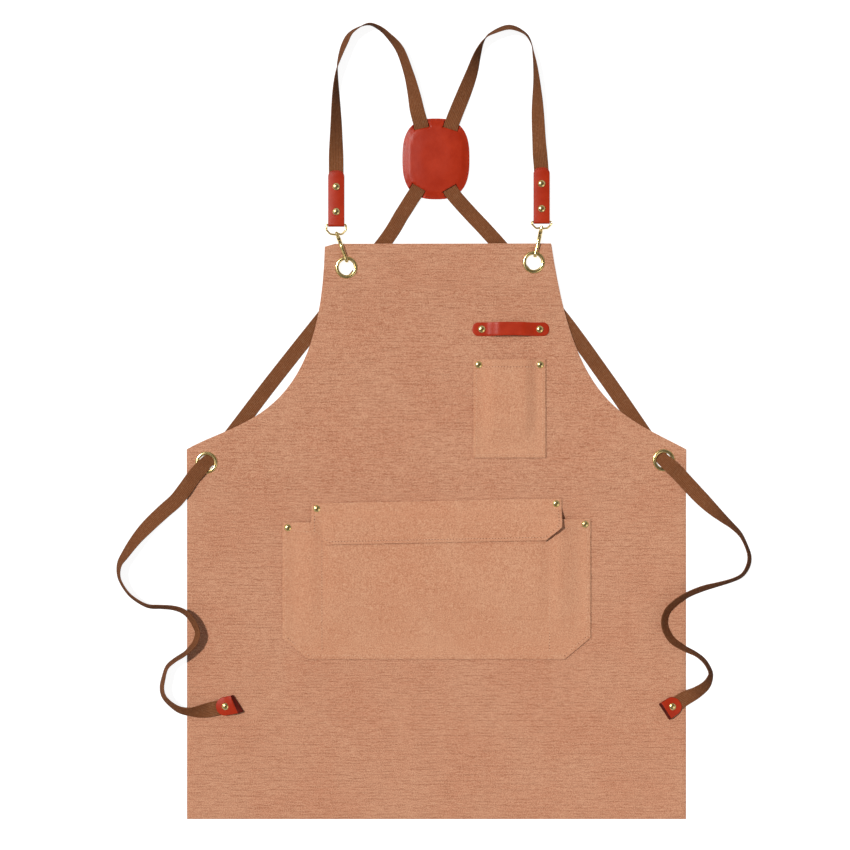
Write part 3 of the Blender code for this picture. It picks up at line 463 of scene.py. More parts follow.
LEFT_STRAP = in_mm(
    (-136.6, 277.5, STRAP_IN_TAB, 0), (-136.6, 300, STRAP_IN_TAB, 0),
    (-136.7, 328, STRAP_IN_TAB, 0), (-136.7, 345, STRAP_IN_TAB, 0), (-136.7, 357, 0.9, 6),
    (-136.6, 380, 0, 27), (-136.4, 406.7, 0, 43), (-136.7, 447, 0, 65), (-135.6, 474, 0, 85),
    (-132.5, 491.5, 0, 104), (-124.7, 514.4, 0, 117), (-115, 530, 0, 110), (-94, 540.4, 0, 95),
    (-78, 535.4, 0, 84), (-64.5, 524, 0, 75), (-49.3, 505, 0, 60), (-37.9, 474, 0, 51),
    (-31, 447, 0.8, 33), (-26.4, 424, 2.9, 10), (-21.6, 406.4, OVER_BORDER, 0),
    (-20, 399, IN_SLIT, 0), (-16, 389, UNDER_CROSSING, 0), (-11, 378, UNDER_CROSSING, 0),
    (-1.5, 357, UNDER_CROSSING, 0), (8, 338, UNDER_CROSSING, 0), (13, 327, UNDER_CROSSING, 0),
    (17, 319, IN_SLIT, 0), (20.9, 312.6, OVER_BORDER, 0), (28, 303.5, OVER_BORDER, 0),
    (45, 285, 0.3, 0), (84.2, 242.7, 0, 0), (165, 149.5, 0, 0), (233, 57, 0, 0),
    (288.5, -23.6, 0, 0), (310.5, -53.5, 0, 0, 17))
RIGHT_STRAP = in_mm(
    (143.1, 281.5, STRAP_IN_TAB, 0), (143.1, 304, STRAP_IN_TAB, 0),
    (143, 332, STRAP_IN_TAB, 0), (142.3, 349, STRAP_IN_TAB, 0), (141.2, 361, 0.9, -6),
    (139.7, 380, 0, -24), (137.7, 420, 0, -36), (136, 460.6, 0, -66), (133.8, 485, 0, -80),
    (131.3, 501, 0, -90), (128.5, 514.4, 0, -98), (120, 528, 0, -108), (98.8, 536.5, 0, -118),
    (74.7, 528, 0, -108), (64.6, 518.6, 0, -90), (56.2, 501, 0, -65), (47.7, 474, 0, -38),
    (37.3, 447, 0.8, -18), (27.5, 423, 2.9, -8), (20.6, 405.2, OVER_BORDER, 0),
    (18.4, 398, IN_SLIT, 0), (13.5, 388.5, 2.4, 0), (8, 379.5, OVER_CROSSING, 0),
    (-2.6, 359, OVER_CROSSING, 0), (-13.2, 339, OVER_CROSSING, 0), (-18.5, 329.5, 2.4, 0),
    (-23.6, 320, IN_SLIT, 0), (-27.4, 313.4, OVER_BORDER, 0), (-33.5, 304, OVER_BORDER, 0),
    (-47, 283, 0.3, 0), (-72.9, 242.7, 0, 0), (-149.4, 149, 0, 0), (-224, 55, 0, 0),
    (-285, -24.7, 0, 0), (-314.3, -56.4, 0, 0, 17))



# -------------------------------------------------------------------- canvas
def panel_lift(y):
    """How high the panel's under side lies, over the straps and the hooks' gates."""
    return (LIFT_WAIST * ease(y, -101 * MM, -74 * MM)
            + (LIFT_BIB - LIFT_WAIST) * ease(y, 139 * MM, 191 * MM))


def panel_drape(x, y):
    """Slow swells of cloth that has been folded and laid out again."""
    return 0.35 * MM * (1 + wave(x, y, 95 * MM, 1)) * ease(y, -120 * MM, -60 * MM) + \
        0.4 * MM * (1 + wave(x, y, 120 * MM, 2)) * (1 - ease(y, -120 * MM, -60 * MM))


def sheet_piece(name, outline, height, thickness, material, spacing, hems=(), relief=None,
                warp=None, holes=(), round_over=0.28 * MM, edge=None):
    """A sheet of cloth or hide. hems are insets of extra edge rings from the outline, height
    gives its under side, relief raises the face alone, warp moves y, holes are (x, y,
    radius), and edge is a dark painted-shade material for the rim and for the outer ring along
    the top and right sides, standing in for the line of shade at a pocket's edge."""
    bm = bmesh.new()
    inner = bm.faces.new([bm.verts.new((x, y, 0)) for x, y in outline])
    if inner.normal.z < 0:
        inner.normal_flip()
    xs, ys = [p[0] for p in outline], [p[1] for p in outline]
    last = 0
    for inset in hems:
        ring = bmesh.ops.inset_region(bm, faces=[inner], thickness=inset - last,
                                      use_even_offset=True)["faces"]
        for face in ring:
            centre = face.calc_center_median()
            # painted shade: along the top and right sides the outer ring takes the dark edge material, for
            # the line of shade at the edge
            shade_side = centre.x > max(xs) - 3 * MM or centre.y > max(ys) - 3 * MM
            face.material_index = 1 if edge and last == 0 and shade_side else 0
        last = inset
    for axis, low, high in ((0, min(xs), max(xs)), (1, min(ys), max(ys))):
        steps = max(2, round((high - low) / spacing))
        for k in range(1, steps):
            place, normal = [0, 0, 0], [0, 0, 0]
            place[axis], normal[axis] = low + (high - low) * k / steps, 1
            bmesh.ops.bisect_plane(bm, geom=bm.verts[:] + bm.edges[:] + bm.faces[:],
                                   plane_co=place, plane_no=normal, dist=1e-6)
    bmesh.ops.triangulate(bm, faces=[f for f in bm.faces if len(f.verts) > 4])
    top = bmesh.ops.duplicate(bm, geom=bm.verts[:] + bm.edges[:] + bm.faces[:])["geom"]
    top_faces = [g for g in top if isinstance(g, bmesh.types.BMFace)]
    top_verts = {g for g in top if isinstance(g, bmesh.types.BMVert)}
    rims = [e for e in bm.edges if e.is_boundary]
    for vert in bm.verts:
        x, y = vert.co.x, vert.co.y
        vert.co.z = height(x, y)
        if vert in top_verts:
            vert.co.z += thickness + (relief(x, y) if relief else 0)
        if warp:
            vert.co.y = warp(x, y)
    bmesh.ops.reverse_faces(bm, faces=[f for f in bm.faces if f not in set(top_faces)])
    # painted shade: the rim faces all round take the dark edge material
    for face in bmesh.ops.bridge_loops(bm, edges=rims)["faces"]:
        face.material_index = 1 if edge else 0
    made = from_bmesh(name, bm, material)
    if edge:
        made.data.materials.append(edge)
    for x, y, radius in holes:
        bpy.ops.mesh.primitive_cylinder_add(vertices=32, radius=radius, depth=60 * MM,
                                            location=(x, y, 0))
        tool = bpy.context.active_object
        bpy.ops.object.transform_apply(location=True)
        cut(made, tool)
    if round_over:
        apply_modifier(made, "BEVEL", width=round_over, segments=2, limit_method="ANGLE",
                       angle_limit=math.radians(60))
    made.data.set_sharp_from_angle(angle=math.radians(60))
    return made


def along_outline(points, pitch, closed=False):
    """Places a pitch apart along a run of (x, y) points, each with its direction."""
    points = list(points) + ([points[0]] if closed else [])
    out, carry = [], pitch / 2
    for a, b in zip(points, points[1:]):
        length = math.dist(a, b)
        if length < 1e-9:
            continue
        step = Vector(((b[0] - a[0]) / length, (b[1] - a[1]) / length, 0))
        while carry < length:
            out.append((Vector((a[0], a[1], 0)) + step * carry, step))
            carry += pitch
        carry -= length
    return out


def stitches(name, runs, surface, material, pitch=4.1 * MM, thick=0.8 * MM, warp=None,
             hole=0.55 * MM):
    """Lockstitches sunk at both ends along runs of (x, y) points, on a surface(x, y) height,
    with small dark discs of painted shade for the needle's holes between them. A thread is
    0.5 mm; it is drawn 0.8 mm thick so that single stitches show."""
    verts, faces, hole_shade_faces = [], [], []
    half = pitch * 0.36
    for run in runs:
        for place, step in along_outline(run, pitch):
            side = Vector((-step.y, step.x, 0))
            base = len(verts)
            for s, size, sink in ((-1, 0.35, 0.55), (-0.6, 0.9, 0.15), (0.6, 0.9, 0.15),
                                  (1, 0.35, 0.55)):
                at = place + step * half * s
                y = warp(at.x, at.y) if warp else at.y
                z = surface(at.x, at.y) - sink * thick * 0.5
                for k in range(6):
                    a = math.pi * k / 3
                    spread = side * (math.cos(a) * size * thick / 2)
                    verts.append((at.x + spread.x, y + spread.y,
                                  z + math.sin(a) * size * thick / 2))
            for ring in range(3):
                for k in range(6):
                    j = (k + 1) % 6
                    a, b = base + 6 * ring, base + 6 * ring + 6
                    faces.append((a + k, a + j, b + j, b + k))
            faces.append(tuple(base + k for k in range(6)))
            faces.append(tuple(base + 18 + k for k in range(6)))
            # a small dark disc of painted shade for the needle hole
            at = place + step * pitch / 2
            base = len(verts)
            for lower in (0, 0.3 * MM):
                for k in range(6):
                    a = math.pi * k / 3
                    x, y = at.x + hole * math.cos(a), at.y + hole * math.sin(a)
                    verts.append((x, warp(x, y) if warp else y,
                                  surface(x, y) + 0.04 * MM - lower))
            hole_shade_faces += range(len(faces), len(faces) + 8)
            faces.append(tuple(base + k for k in range(6)))
            faces.append(tuple(base + 6 + k for k in range(6)))
            for k in range(6):
                j = (k + 1) % 6
                faces.append((base + k, base + j, base + 6 + j, base + 6 + k))
    mesh = bpy.data.meshes.new(name)
    mesh.from_pydata(verts, [], faces)
    for index in hole_shade_faces:
        mesh.polygons[index].material_index = 1
    bm = bmesh.new()
    bm.from_mesh(mesh)
    bpy.data.meshes.remove(mesh)
    made = from_bmesh(name, bm, material, 60)
    # the needle-hole discs take a dark material as painted shade: dark canvas under canvas thread, the
    # dark leather edge material under leather thread
    made.data.materials.append(EDGE if material is THREAD else LEATHER_EDGE_PAINT_AND_HOLE_SHADE)
    return made


def cubic(points, steps):
    out = []
    for i in range(steps + 1):
        t = i / steps
        weights = ((1 - t) ** 3, 3 * t * (1 - t) ** 2, 3 * t * t * (1 - t), t ** 3)
        out.append(tuple(sum(w * p[k] for w, p in zip(weights, points)) for k in (0, 1)))
    return out


# ---- panel ----
panel_low, panel_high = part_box("body_panel")
HALF, HEM, BIB = panel_high[0], panel_low[1], panel_high[1] - 1 * MM
SIDE_TOP = -37 * MM
left_armhole = cubic([(-152 * MM, BIB - 3.5 * MM), (-157.5 * MM, 0), (-269 * MM, 4 * MM),
                      (-HALF, SIDE_TOP)], 26)
right_armhole = cubic([(156 * MM, BIB + 1 * MM), (188.5 * MM, 21 * MM), (251.5 * MM, 10 * MM),
                       (HALF, SIDE_TOP)], 26)
panel_outline = ([(-HALF, HEM), (HALF, HEM)] + right_armhole[::-1]
                 + [(-138 * MM, BIB + 0.5 * MM)] + left_armhole[:-1] + [(-HALF, SIDE_TOP)])
EYELETS = {}
for side in SIDES:
    for level in ("bib", "waist"):
        EYELETS[side, level] = middle(f"{side}_{level}_eyelet")


def creases(x, y):
    """Flattened packing folds: a pair of crossing lines and a few short diagonal ones."""
    ridge = 0.0
    for (ax, ay), (bx, by), deep in CREASES:
        dx, dy = bx - ax, by - ay
        t = ((x - ax) * dx + (y - ay) * dy) / (dx * dx + dy * dy)
        if 0 < t < 1:
            off = (x - ax - t * dx) * dy - (y - ay - t * dy) * dx
            off /= math.hypot(dx, dy)
            ridge += deep * math.exp(-(off / (5 * MM)) ** 2) * math.sin(math.pi * t)
    return ridge


CREASES = [((-95 * MM, -60 * MM), (-85 * MM, 120 * MM), 0.35 * MM),
           ((-60 * MM, -20 * MM), (20 * MM, 190 * MM), 0.3 * MM),
           ((-250 * MM, -130 * MM), (-215 * MM, -20 * MM), 0.35 * MM),
           ((190 * MM, -480 * MM), (270 * MM, -360 * MM), 0.4 * MM),
           ((-300 * MM, -420 * MM), (-120 * MM, -500 * MM), 0.4 * MM),
           ((0, -540 * MM), (12 * MM, -330 * MM), 0.35 * MM)]

panel = sheet_piece("canvas_panel", panel_outline,
                    lambda x, y: panel_lift(y) + 0.02 * MM, CANVAS_THICK, CANVAS, 9 * MM,
                    hems=(3 * MM,), relief=lambda x, y: 0.25 * (panel_drape(x, y)
                                                                + creases(x, y)),
                    holes=[(p.x, p.y, 11.4 * MM) for p in EYELETS.values()])


def panel_top(x, y):
    return panel_lift(y) + CANVAS_THICK


# ---- chest pocket ----
chest_low, chest_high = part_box("chest_pocket")
CHEST_MIDDLE = (chest_low[0] + chest_high[0]) / 2
CHEST_HALF = (chest_high[0] - chest_low[0]) / 2
SEAM = 13 * MM
GAPE = 4.8 * MM


def gape(x, y, centre, half, bottom, side_run, foot_run):
    return (GAPE * ease(half - abs(x - centre), SEAM - 2 * MM, SEAM + side_run)
            * ease(y - bottom, SEAM - 2 * MM, SEAM + foot_run))


def chest_height(x, y):
    return (panel_lift(y) + POCKET_LIFT + 0.1 * MM
            + gape(x, y, CHEST_MIDDLE, CHEST_HALF, chest_low[1], 16 * MM, 40 * MM))


def turned_edge(inner, outer, rise):
    """Relief of a turned-in edge and the groove its stitches pull, by distance in."""
    def at(distance):
        return (rise * (1 - ease(distance, inner, outer))
                - 0.25 * MM * math.exp(-((distance - inner + 1.6 * MM) / (0.8 * MM)) ** 2))
    return at


chest_edge = turned_edge(6 * MM, 7.5 * MM, 0.8 * MM)


def chest_relief(x, y):
    sides = min(CHEST_HALF - abs(x - CHEST_MIDDLE), y - chest_low[1])
    return max(chest_edge(sides), chest_edge(chest_high[1] - y - 6 * MM)) \
        + 0.15 * MM * wave(x, y, 40 * MM, 3)


chest_outline = [(chest_low[0], chest_high[1]), (chest_low[0], chest_low[1]),
                 (chest_high[0], chest_low[1]), (chest_high[0], chest_high[1])]
chest_pocket = sheet_piece("canvas_chest_pocket", chest_outline, chest_height, POCKET_THICK,
                           POCKET, 5 * MM, hems=(1.8 * MM, 3 * MM, 4.5 * MM, 6 * MM, 7.5 * MM),
                           relief=chest_relief, edge=EDGE)
chest_thread = stitches(
    "chest_pocket_stitches",
    [[(chest_low[0] + 4.4 * MM, chest_high[1] - 14 * MM),
      (chest_low[0] + 4.4 * MM, chest_low[1] + 4.4 * MM),
      (chest_high[0] - 4.4 * MM, chest_low[1] + 4.4 * MM),
      (chest_high[0] - 4.4 * MM, chest_high[1] - 14 * MM)],
     [(chest_low[0] + 14 * MM, chest_high[1] - 10.5 * MM),
      (chest_high[0] - 14 * MM, chest_high[1] - 10.5 * MM)]],
    lambda x, y: chest_height(x, y) + POCKET_THICK + chest_relief(x, y), THREAD)


# ---- kangaroo pocket ----
KANG_HALF = 210 * MM
KANG_BOTTOM, KANG_TOP = -323 * MM, -134 * MM
KANG_CHAMFER = (35 * MM, 29 * MM)
KANG_SLOPE = 0.012
DIVIDERS = (-156 * MM, 154 * MM)


def kangaroo_warp(x, y):
    return y + KANG_SLOPE * x * min(1, max(0, (y - KANG_BOTTOM) / (KANG_TOP - KANG_BOTTOM)))


def kangaroo_bump(x, y):
    full = gape(x, y, 0, KANG_HALF, KANG_BOTTOM, 36 * MM, 90 * MM)
    for line in DIVIDERS:
        full *= 1 - 0.45 * math.exp(-((x - line) / (9 * MM)) ** 2)
    return full


def kangaroo_height(x, y):
    return POCKET_LIFT + 0.1 * MM + kangaroo_bump(x, y)


def chamfered_distance(x, y, half, bottom, chamfer):
    """Distance in from the sides, foot and cut corners of a pocket."""
    dx, dy = half - abs(x), y - bottom
    slant = math.hypot(*chamfer)
    corner = (dx * chamfer[1] + dy * chamfer[0] - chamfer[0] * chamfer[1]) / slant
    return min(dx, dy, corner)


def chamfered(half, bottom, top, chamfer, inset=0.0):
    """Its outline, from the top left corner down and round, moved in by inset."""
    slant = math.hypot(*chamfer)
    up = chamfer[1] + inset * (slant - chamfer[1]) / chamfer[0]
    along = chamfer[0] + inset * (slant - chamfer[0]) / chamfer[1]
    left, low = -half + inset, bottom + inset
    return [(left, top), (left, bottom + up), (-half + along, low), (half - along, low),
            (-left, bottom + up), (-left, top)]


kangaroo_edge = turned_edge(6.5 * MM, 8 * MM, 0.8 * MM)


def kangaroo_relief(x, y):
    sides = chamfered_distance(x, y, KANG_HALF, KANG_BOTTOM, KANG_CHAMFER)
    return max(kangaroo_edge(sides), kangaroo_edge(KANG_TOP - y - 8 * MM)) \
        + 0.2 * MM * wave(x, y, 55 * MM, 4)


kangaroo_outline = chamfered(KANG_HALF, KANG_BOTTOM, KANG_TOP, KANG_CHAMFER)
kangaroo_pocket = sheet_piece("canvas_kangaroo_pocket", kangaroo_outline, kangaroo_height,
                              POCKET_THICK, POCKET, 6 * MM,
                              hems=(1.8 * MM, 3 * MM, 4.8 * MM, 6.5 * MM, 8 * MM),
                              relief=kangaroo_relief, warp=kangaroo_warp, edge=EDGE)
kangaroo_thread = stitches(
    "kangaroo_pocket_stitches",
    [chamfered(KANG_HALF, KANG_BOTTOM, KANG_TOP - 14 * MM, KANG_CHAMFER, 4.8 * MM)]
    + [[(x, KANG_BOTTOM + 6 * MM), (x, KANG_TOP - 3 * MM)] for x in DIVIDERS]
    + [[(-KANG_HALF + 15 * MM, KANG_TOP - 12.6 * MM), (KANG_HALF - 15 * MM, KANG_TOP - 12.6 * MM)]],
    lambda x, y: kangaroo_height(x, y) + POCKET_THICK + kangaroo_relief(x, y), THREAD,
    warp=kangaroo_warp)


# ---- flap ----
FLAP_HALF = 170.5 * MM
FLAP_TOP, FLAP_BOTTOM = -107 * MM, -164 * MM
FLAP_CHAMFER = (22 * MM, 18 * MM)
FLAP_FOLD = -121.5 * MM
FLAP_SLOPE = 0.0205


def flap_warp(x, y):
    return y + FLAP_SLOPE * x


def flap_height(x, y):
    """Flat where it is sewn down, then up over the pocket's mouth, its right end curling up."""
    over = (POCKET_THICK + GAP + kangaroo_bump(x, KANG_TOP)) * ease(FLAP_FOLD - y, -2 * MM, 12 * MM)
    curl = 7.5 * MM * ease(x, 128 * MM, FLAP_HALF) * ease(FLAP_FOLD - y, -2 * MM, 24 * MM)
    return POCKET_LIFT + 0.1 * MM + over + curl


flap_edge = turned_edge(6 * MM, 7.5 * MM, 0.8 * MM)


def flap_relief(x, y):
    sides = chamfered_distance(x, y, FLAP_HALF, FLAP_BOTTOM, FLAP_CHAMFER)
    return max(flap_edge(sides), flap_edge(FLAP_TOP - y - 7 * MM)) \
        + 0.18 * MM * wave(x, y, 45 * MM, 5)


flap_outline = chamfered(FLAP_HALF, FLAP_BOTTOM, FLAP_TOP, FLAP_CHAMFER)
flap = sheet_piece("canvas_flap", flap_outline, flap_height, POCKET_THICK, POCKET, 4.5 * MM,
                   hems=(1.8 * MM, 3 * MM, 4.4 * MM, 6 * MM, 7.5 * MM), relief=flap_relief,
                   warp=flap_warp, edge=EDGE)


def flap_top_height(x, y):
    return flap_height(x, y) + POCKET_THICK + flap_relief(x, y)


flap_thread = stitches(
    "flap_stitches",
    [chamfered(FLAP_HALF, FLAP_BOTTOM, FLAP_TOP - 14 * MM, FLAP_CHAMFER, 4.4 * MM),
     [(-FLAP_HALF + 16 * MM, FLAP_TOP - 11.5 * MM), (FLAP_HALF - 16 * MM, FLAP_TOP - 11.5 * MM)]],
    flap_top_height, THREAD, warp=flap_warp)


# ---------------------------------------------------------- turned and bent metal
def turned(name, profile, sides, material, closed=False, sharp=35):
    """A round piece about Z, raised ring by ring from (radius, height) pairs. closed joins the
    last ring to the first; otherwise both ends are filled."""
    bpy.ops.object.select_all(action="DESELECT")
    bpy.ops.mesh.primitive_circle_add(vertices=sides, radius=profile[0][0],
                                      location=(0, 0, profile[0][1]))
    made = bpy.context.active_object
    made.name = name
    bpy.ops.object.transform_apply(location=True)
    bpy.ops.object.mode_set(mode="EDIT")
    bpy.ops.mesh.select_all(action="SELECT")
    for (before, low), (after, high) in zip(profile, profile[1:]):
        bpy.ops.mesh.extrude_region_move(TRANSFORM_OT_translate={"value": (0, 0, high - low)})
        grow = after / before
        bpy.ops.transform.resize(value=(grow, grow, 1), center_override=(0, 0, 0))
    bpy.ops.mesh.select_all(action="DESELECT")
    bpy.ops.mesh.select_mode(type="EDGE")
    bpy.ops.mesh.select_non_manifold()
    if closed:
        bpy.ops.mesh.bridge_edge_loops()
    else:
        bpy.ops.mesh.fill_holes(sides=0)
    bpy.ops.mesh.select_mode(type="VERT")
    bpy.ops.mesh.select_all(action="SELECT")
    bpy.ops.mesh.normals_make_consistent(inside=False)
    bpy.ops.object.mode_set(mode="OBJECT")
    bpy.ops.object.shade_smooth_by_angle(angle=math.radians(sharp))
    made.data.materials.append(material)
    return made


def copy_at(obj, name, matrix):
    """A copy of a piece with its own mesh, moved there in its mesh."""
    made = obj.copy()
    made.data = obj.data.copy()
    made.name = name
    bpy.context.scene.collection.objects.link(made)
    made.data.transform(matrix)
    return made


def moved(obj, matrix):
    obj.data.transform(matrix)
    return obj


def bar(name, points, radius, material, radii=None, closed=False, sides=12):
    """A bent round bar through points, made a mesh; radii are shares of radius by point."""
    curve = bpy.data.curves.new(name, "CURVE")
    curve.dimensions = "3D"
    curve.bevel_depth = radius
    curve.bevel_resolution = max(1, sides // 4 - 1) + 1
    curve.use_fill_caps = True
    spline = curve.splines.new("POLY")
    spline.points.add(len(points) - 1)
    for i, point in enumerate(points):
        spline.points[i].co = (*point, 1)
        spline.points[i].radius = radii[i] if radii else 1
    spline.use_cyclic_u = closed
    made = bpy.data.objects.new(name, curve)
    bpy.context.scene.collection.objects.link(made)
    only(made)
    bpy.ops.object.convert(target="MESH")
    made = bpy.context.active_object
    bpy.ops.object.mode_set(mode="EDIT")
    bpy.ops.mesh.select_all(action="SELECT")
    bpy.ops.mesh.remove_doubles(threshold=1e-6)
    bpy.ops.mesh.normals_make_consistent(inside=False)
    bpy.ops.object.mode_set(mode="OBJECT")
    bpy.ops.object.shade_smooth_by_angle(angle=math.radians(50))
    made.data.materials.clear()
    made.data.materials.append(material)
    return made


def fused(name, *parts):
    """Several solids made one by Boolean union, the first keeping its material."""
    whole = parts[0]
    for part in parts[1:]:
        cut(whole, part, "UNION")
    whole.name = name
    only(whole)
    bpy.ops.object.shade_smooth_by_angle(angle=math.radians(35))
    return whole


# ---- rivets ----
RIVET_CAP = 5.0 * MM
RIVET_DOME = 2.2 * MM
cap_profile = [(0.25, -1.2), (1.5, -1.2), (1.5, 0.0), (4.3, 0.0), (4.75, 0.12), (5.0, 0.42),
               (4.96, 0.72), (4.7, 1.0), (4.3, 1.2), (3.8, 1.42), (3.3, 1.66), (2.7, 1.88),
               (2.0, 2.04), (1.2, 2.15), (0.4, 2.2)]
rivet_cap = turned("rivet_cap", [(r * MM, z * MM) for r, z in cap_profile], 32, GOLD, sharp=60)
RIVETS = {}
for node in sorted(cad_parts):
    if "rivet" in node:
        low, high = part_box(node)
        seat = high[2] - RIVET_DOME
        foot = low[2]
        at = middle(node)
        made = copy_at(rivet_cap, node + "_cap", Matrix.Translation((at.x, at.y, seat)))
        RIVETS[node] = made
bpy.data.objects.remove(rivet_cap, do_unlink=True)

# ---- eyelets ----
RIM, BORE, WALL = 15.2, 10.2, 0.6
for side in SIDES:
    for level in ("bib", "waist"):
        node = f"{side}_{level}_eyelet"
        low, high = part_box(node)
        at = middle(node)
        top, foot = high[2] / MM, low[2] / MM
        flange = top - 1.4
        profile = [(BORE + WALL, foot), (BORE + WALL, flange + 0.02), (RIM - 0.25, flange + 0.02),
                   (RIM, flange + 0.25), (RIM - 0.12, flange + 0.6), (RIM - 0.7, flange + 0.98),
                   (RIM - 1.5, top - 0.12), (RIM - 2.4, top), (RIM - 3.4, top - 0.06),
                   (BORE + 0.9, top - 0.3), (BORE + 0.35, top - 0.62), (BORE + 0.06, top - 1.05),
                   (BORE, top - 1.6), (BORE, foot)]
        made = turned(node + "_shell", [(r * MM, z * MM) for r, z in profile], 56, GOLD,
                      closed=True, sharp=55)
        moved(made, Matrix.Translation((at.x, at.y, 0)))
        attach(made, "apron")
        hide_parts(node)
        washer = f"{side}_{level}_washer"
        low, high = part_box(washer)
        foot, top = low[2] / MM, high[2] / MM
        profile = [(BORE + WALL + 0.3, foot + 0.1), (BORE + WALL + 0.4, foot), (RIM - 1.15, foot),
                   (RIM - 1.0, foot + 0.12), (RIM - 1.0, top - 0.1), (RIM - 1.12, top),
                   (BORE + WALL + 0.3, top)]
        made = turned(washer + "_ring", [(r * MM, z * MM) for r, z in profile], 48, GOLD,
                      closed=True)
        moved(made, Matrix.Translation((at.x, at.y, 0)))
        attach(made, "apron")
        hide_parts(washer)


# -------------------------------------------------------------------- hooks
EYE_HEIGHT = 2.7 * MM
HOOK_REACH = 40 * MM
HOOK_FLATNESS = 1.8
SPINE_RISE = LIFT_BIB + CANVAS_THICK + GAP + 1.4 * MM + 2 * GAP + 1.5 * MM - EYE_HEIGHT
GATE_DROP = GAP + 1.1 * MM - EYE_HEIGHT
SWIVELS = {"left": (-135.4 * MM, 255.8 * MM), "right": (142.7 * MM, 264.0 * MM)}
NOSE_AIM = {"left": (-121.9 * MM, 218.6 * MM), "right": (133.9 * MM, 225.3 * MM)}
TAB_AXIS = {"left": -136.6 * MM, "right": 143.1 * MM}
TAB_FOOT = {"left": 266 * MM, "right": 270 * MM}
EYE_WIRE = 1.2 * MM
EYE_HALF = 13.4 * MM
BOSS_HALF = 2.0 * MM


def hook_frame(side):
    """Matrix from a hook's own frame, u towards its nose, w sideways and v up."""
    start = Vector(SWIVELS[side])
    along = (Vector(NOSE_AIM[side]) - start).normalized()
    return Matrix(((along.x, -along.y, 0, start.x), (along.y, along.x, 0, start.y),
                   (0, 0, 1, EYE_HEIGHT), (0, 0, 0, 1)))


LIE_ALONG = Matrix(((0, 0, 1, 0), (1, 0, 0, 0), (0, 1, 0, 0), (0, 0, 0, 1)))


def in_hook(points):
    return [Vector((u * MM, w * MM, v * MM)) for u, w, v in points]


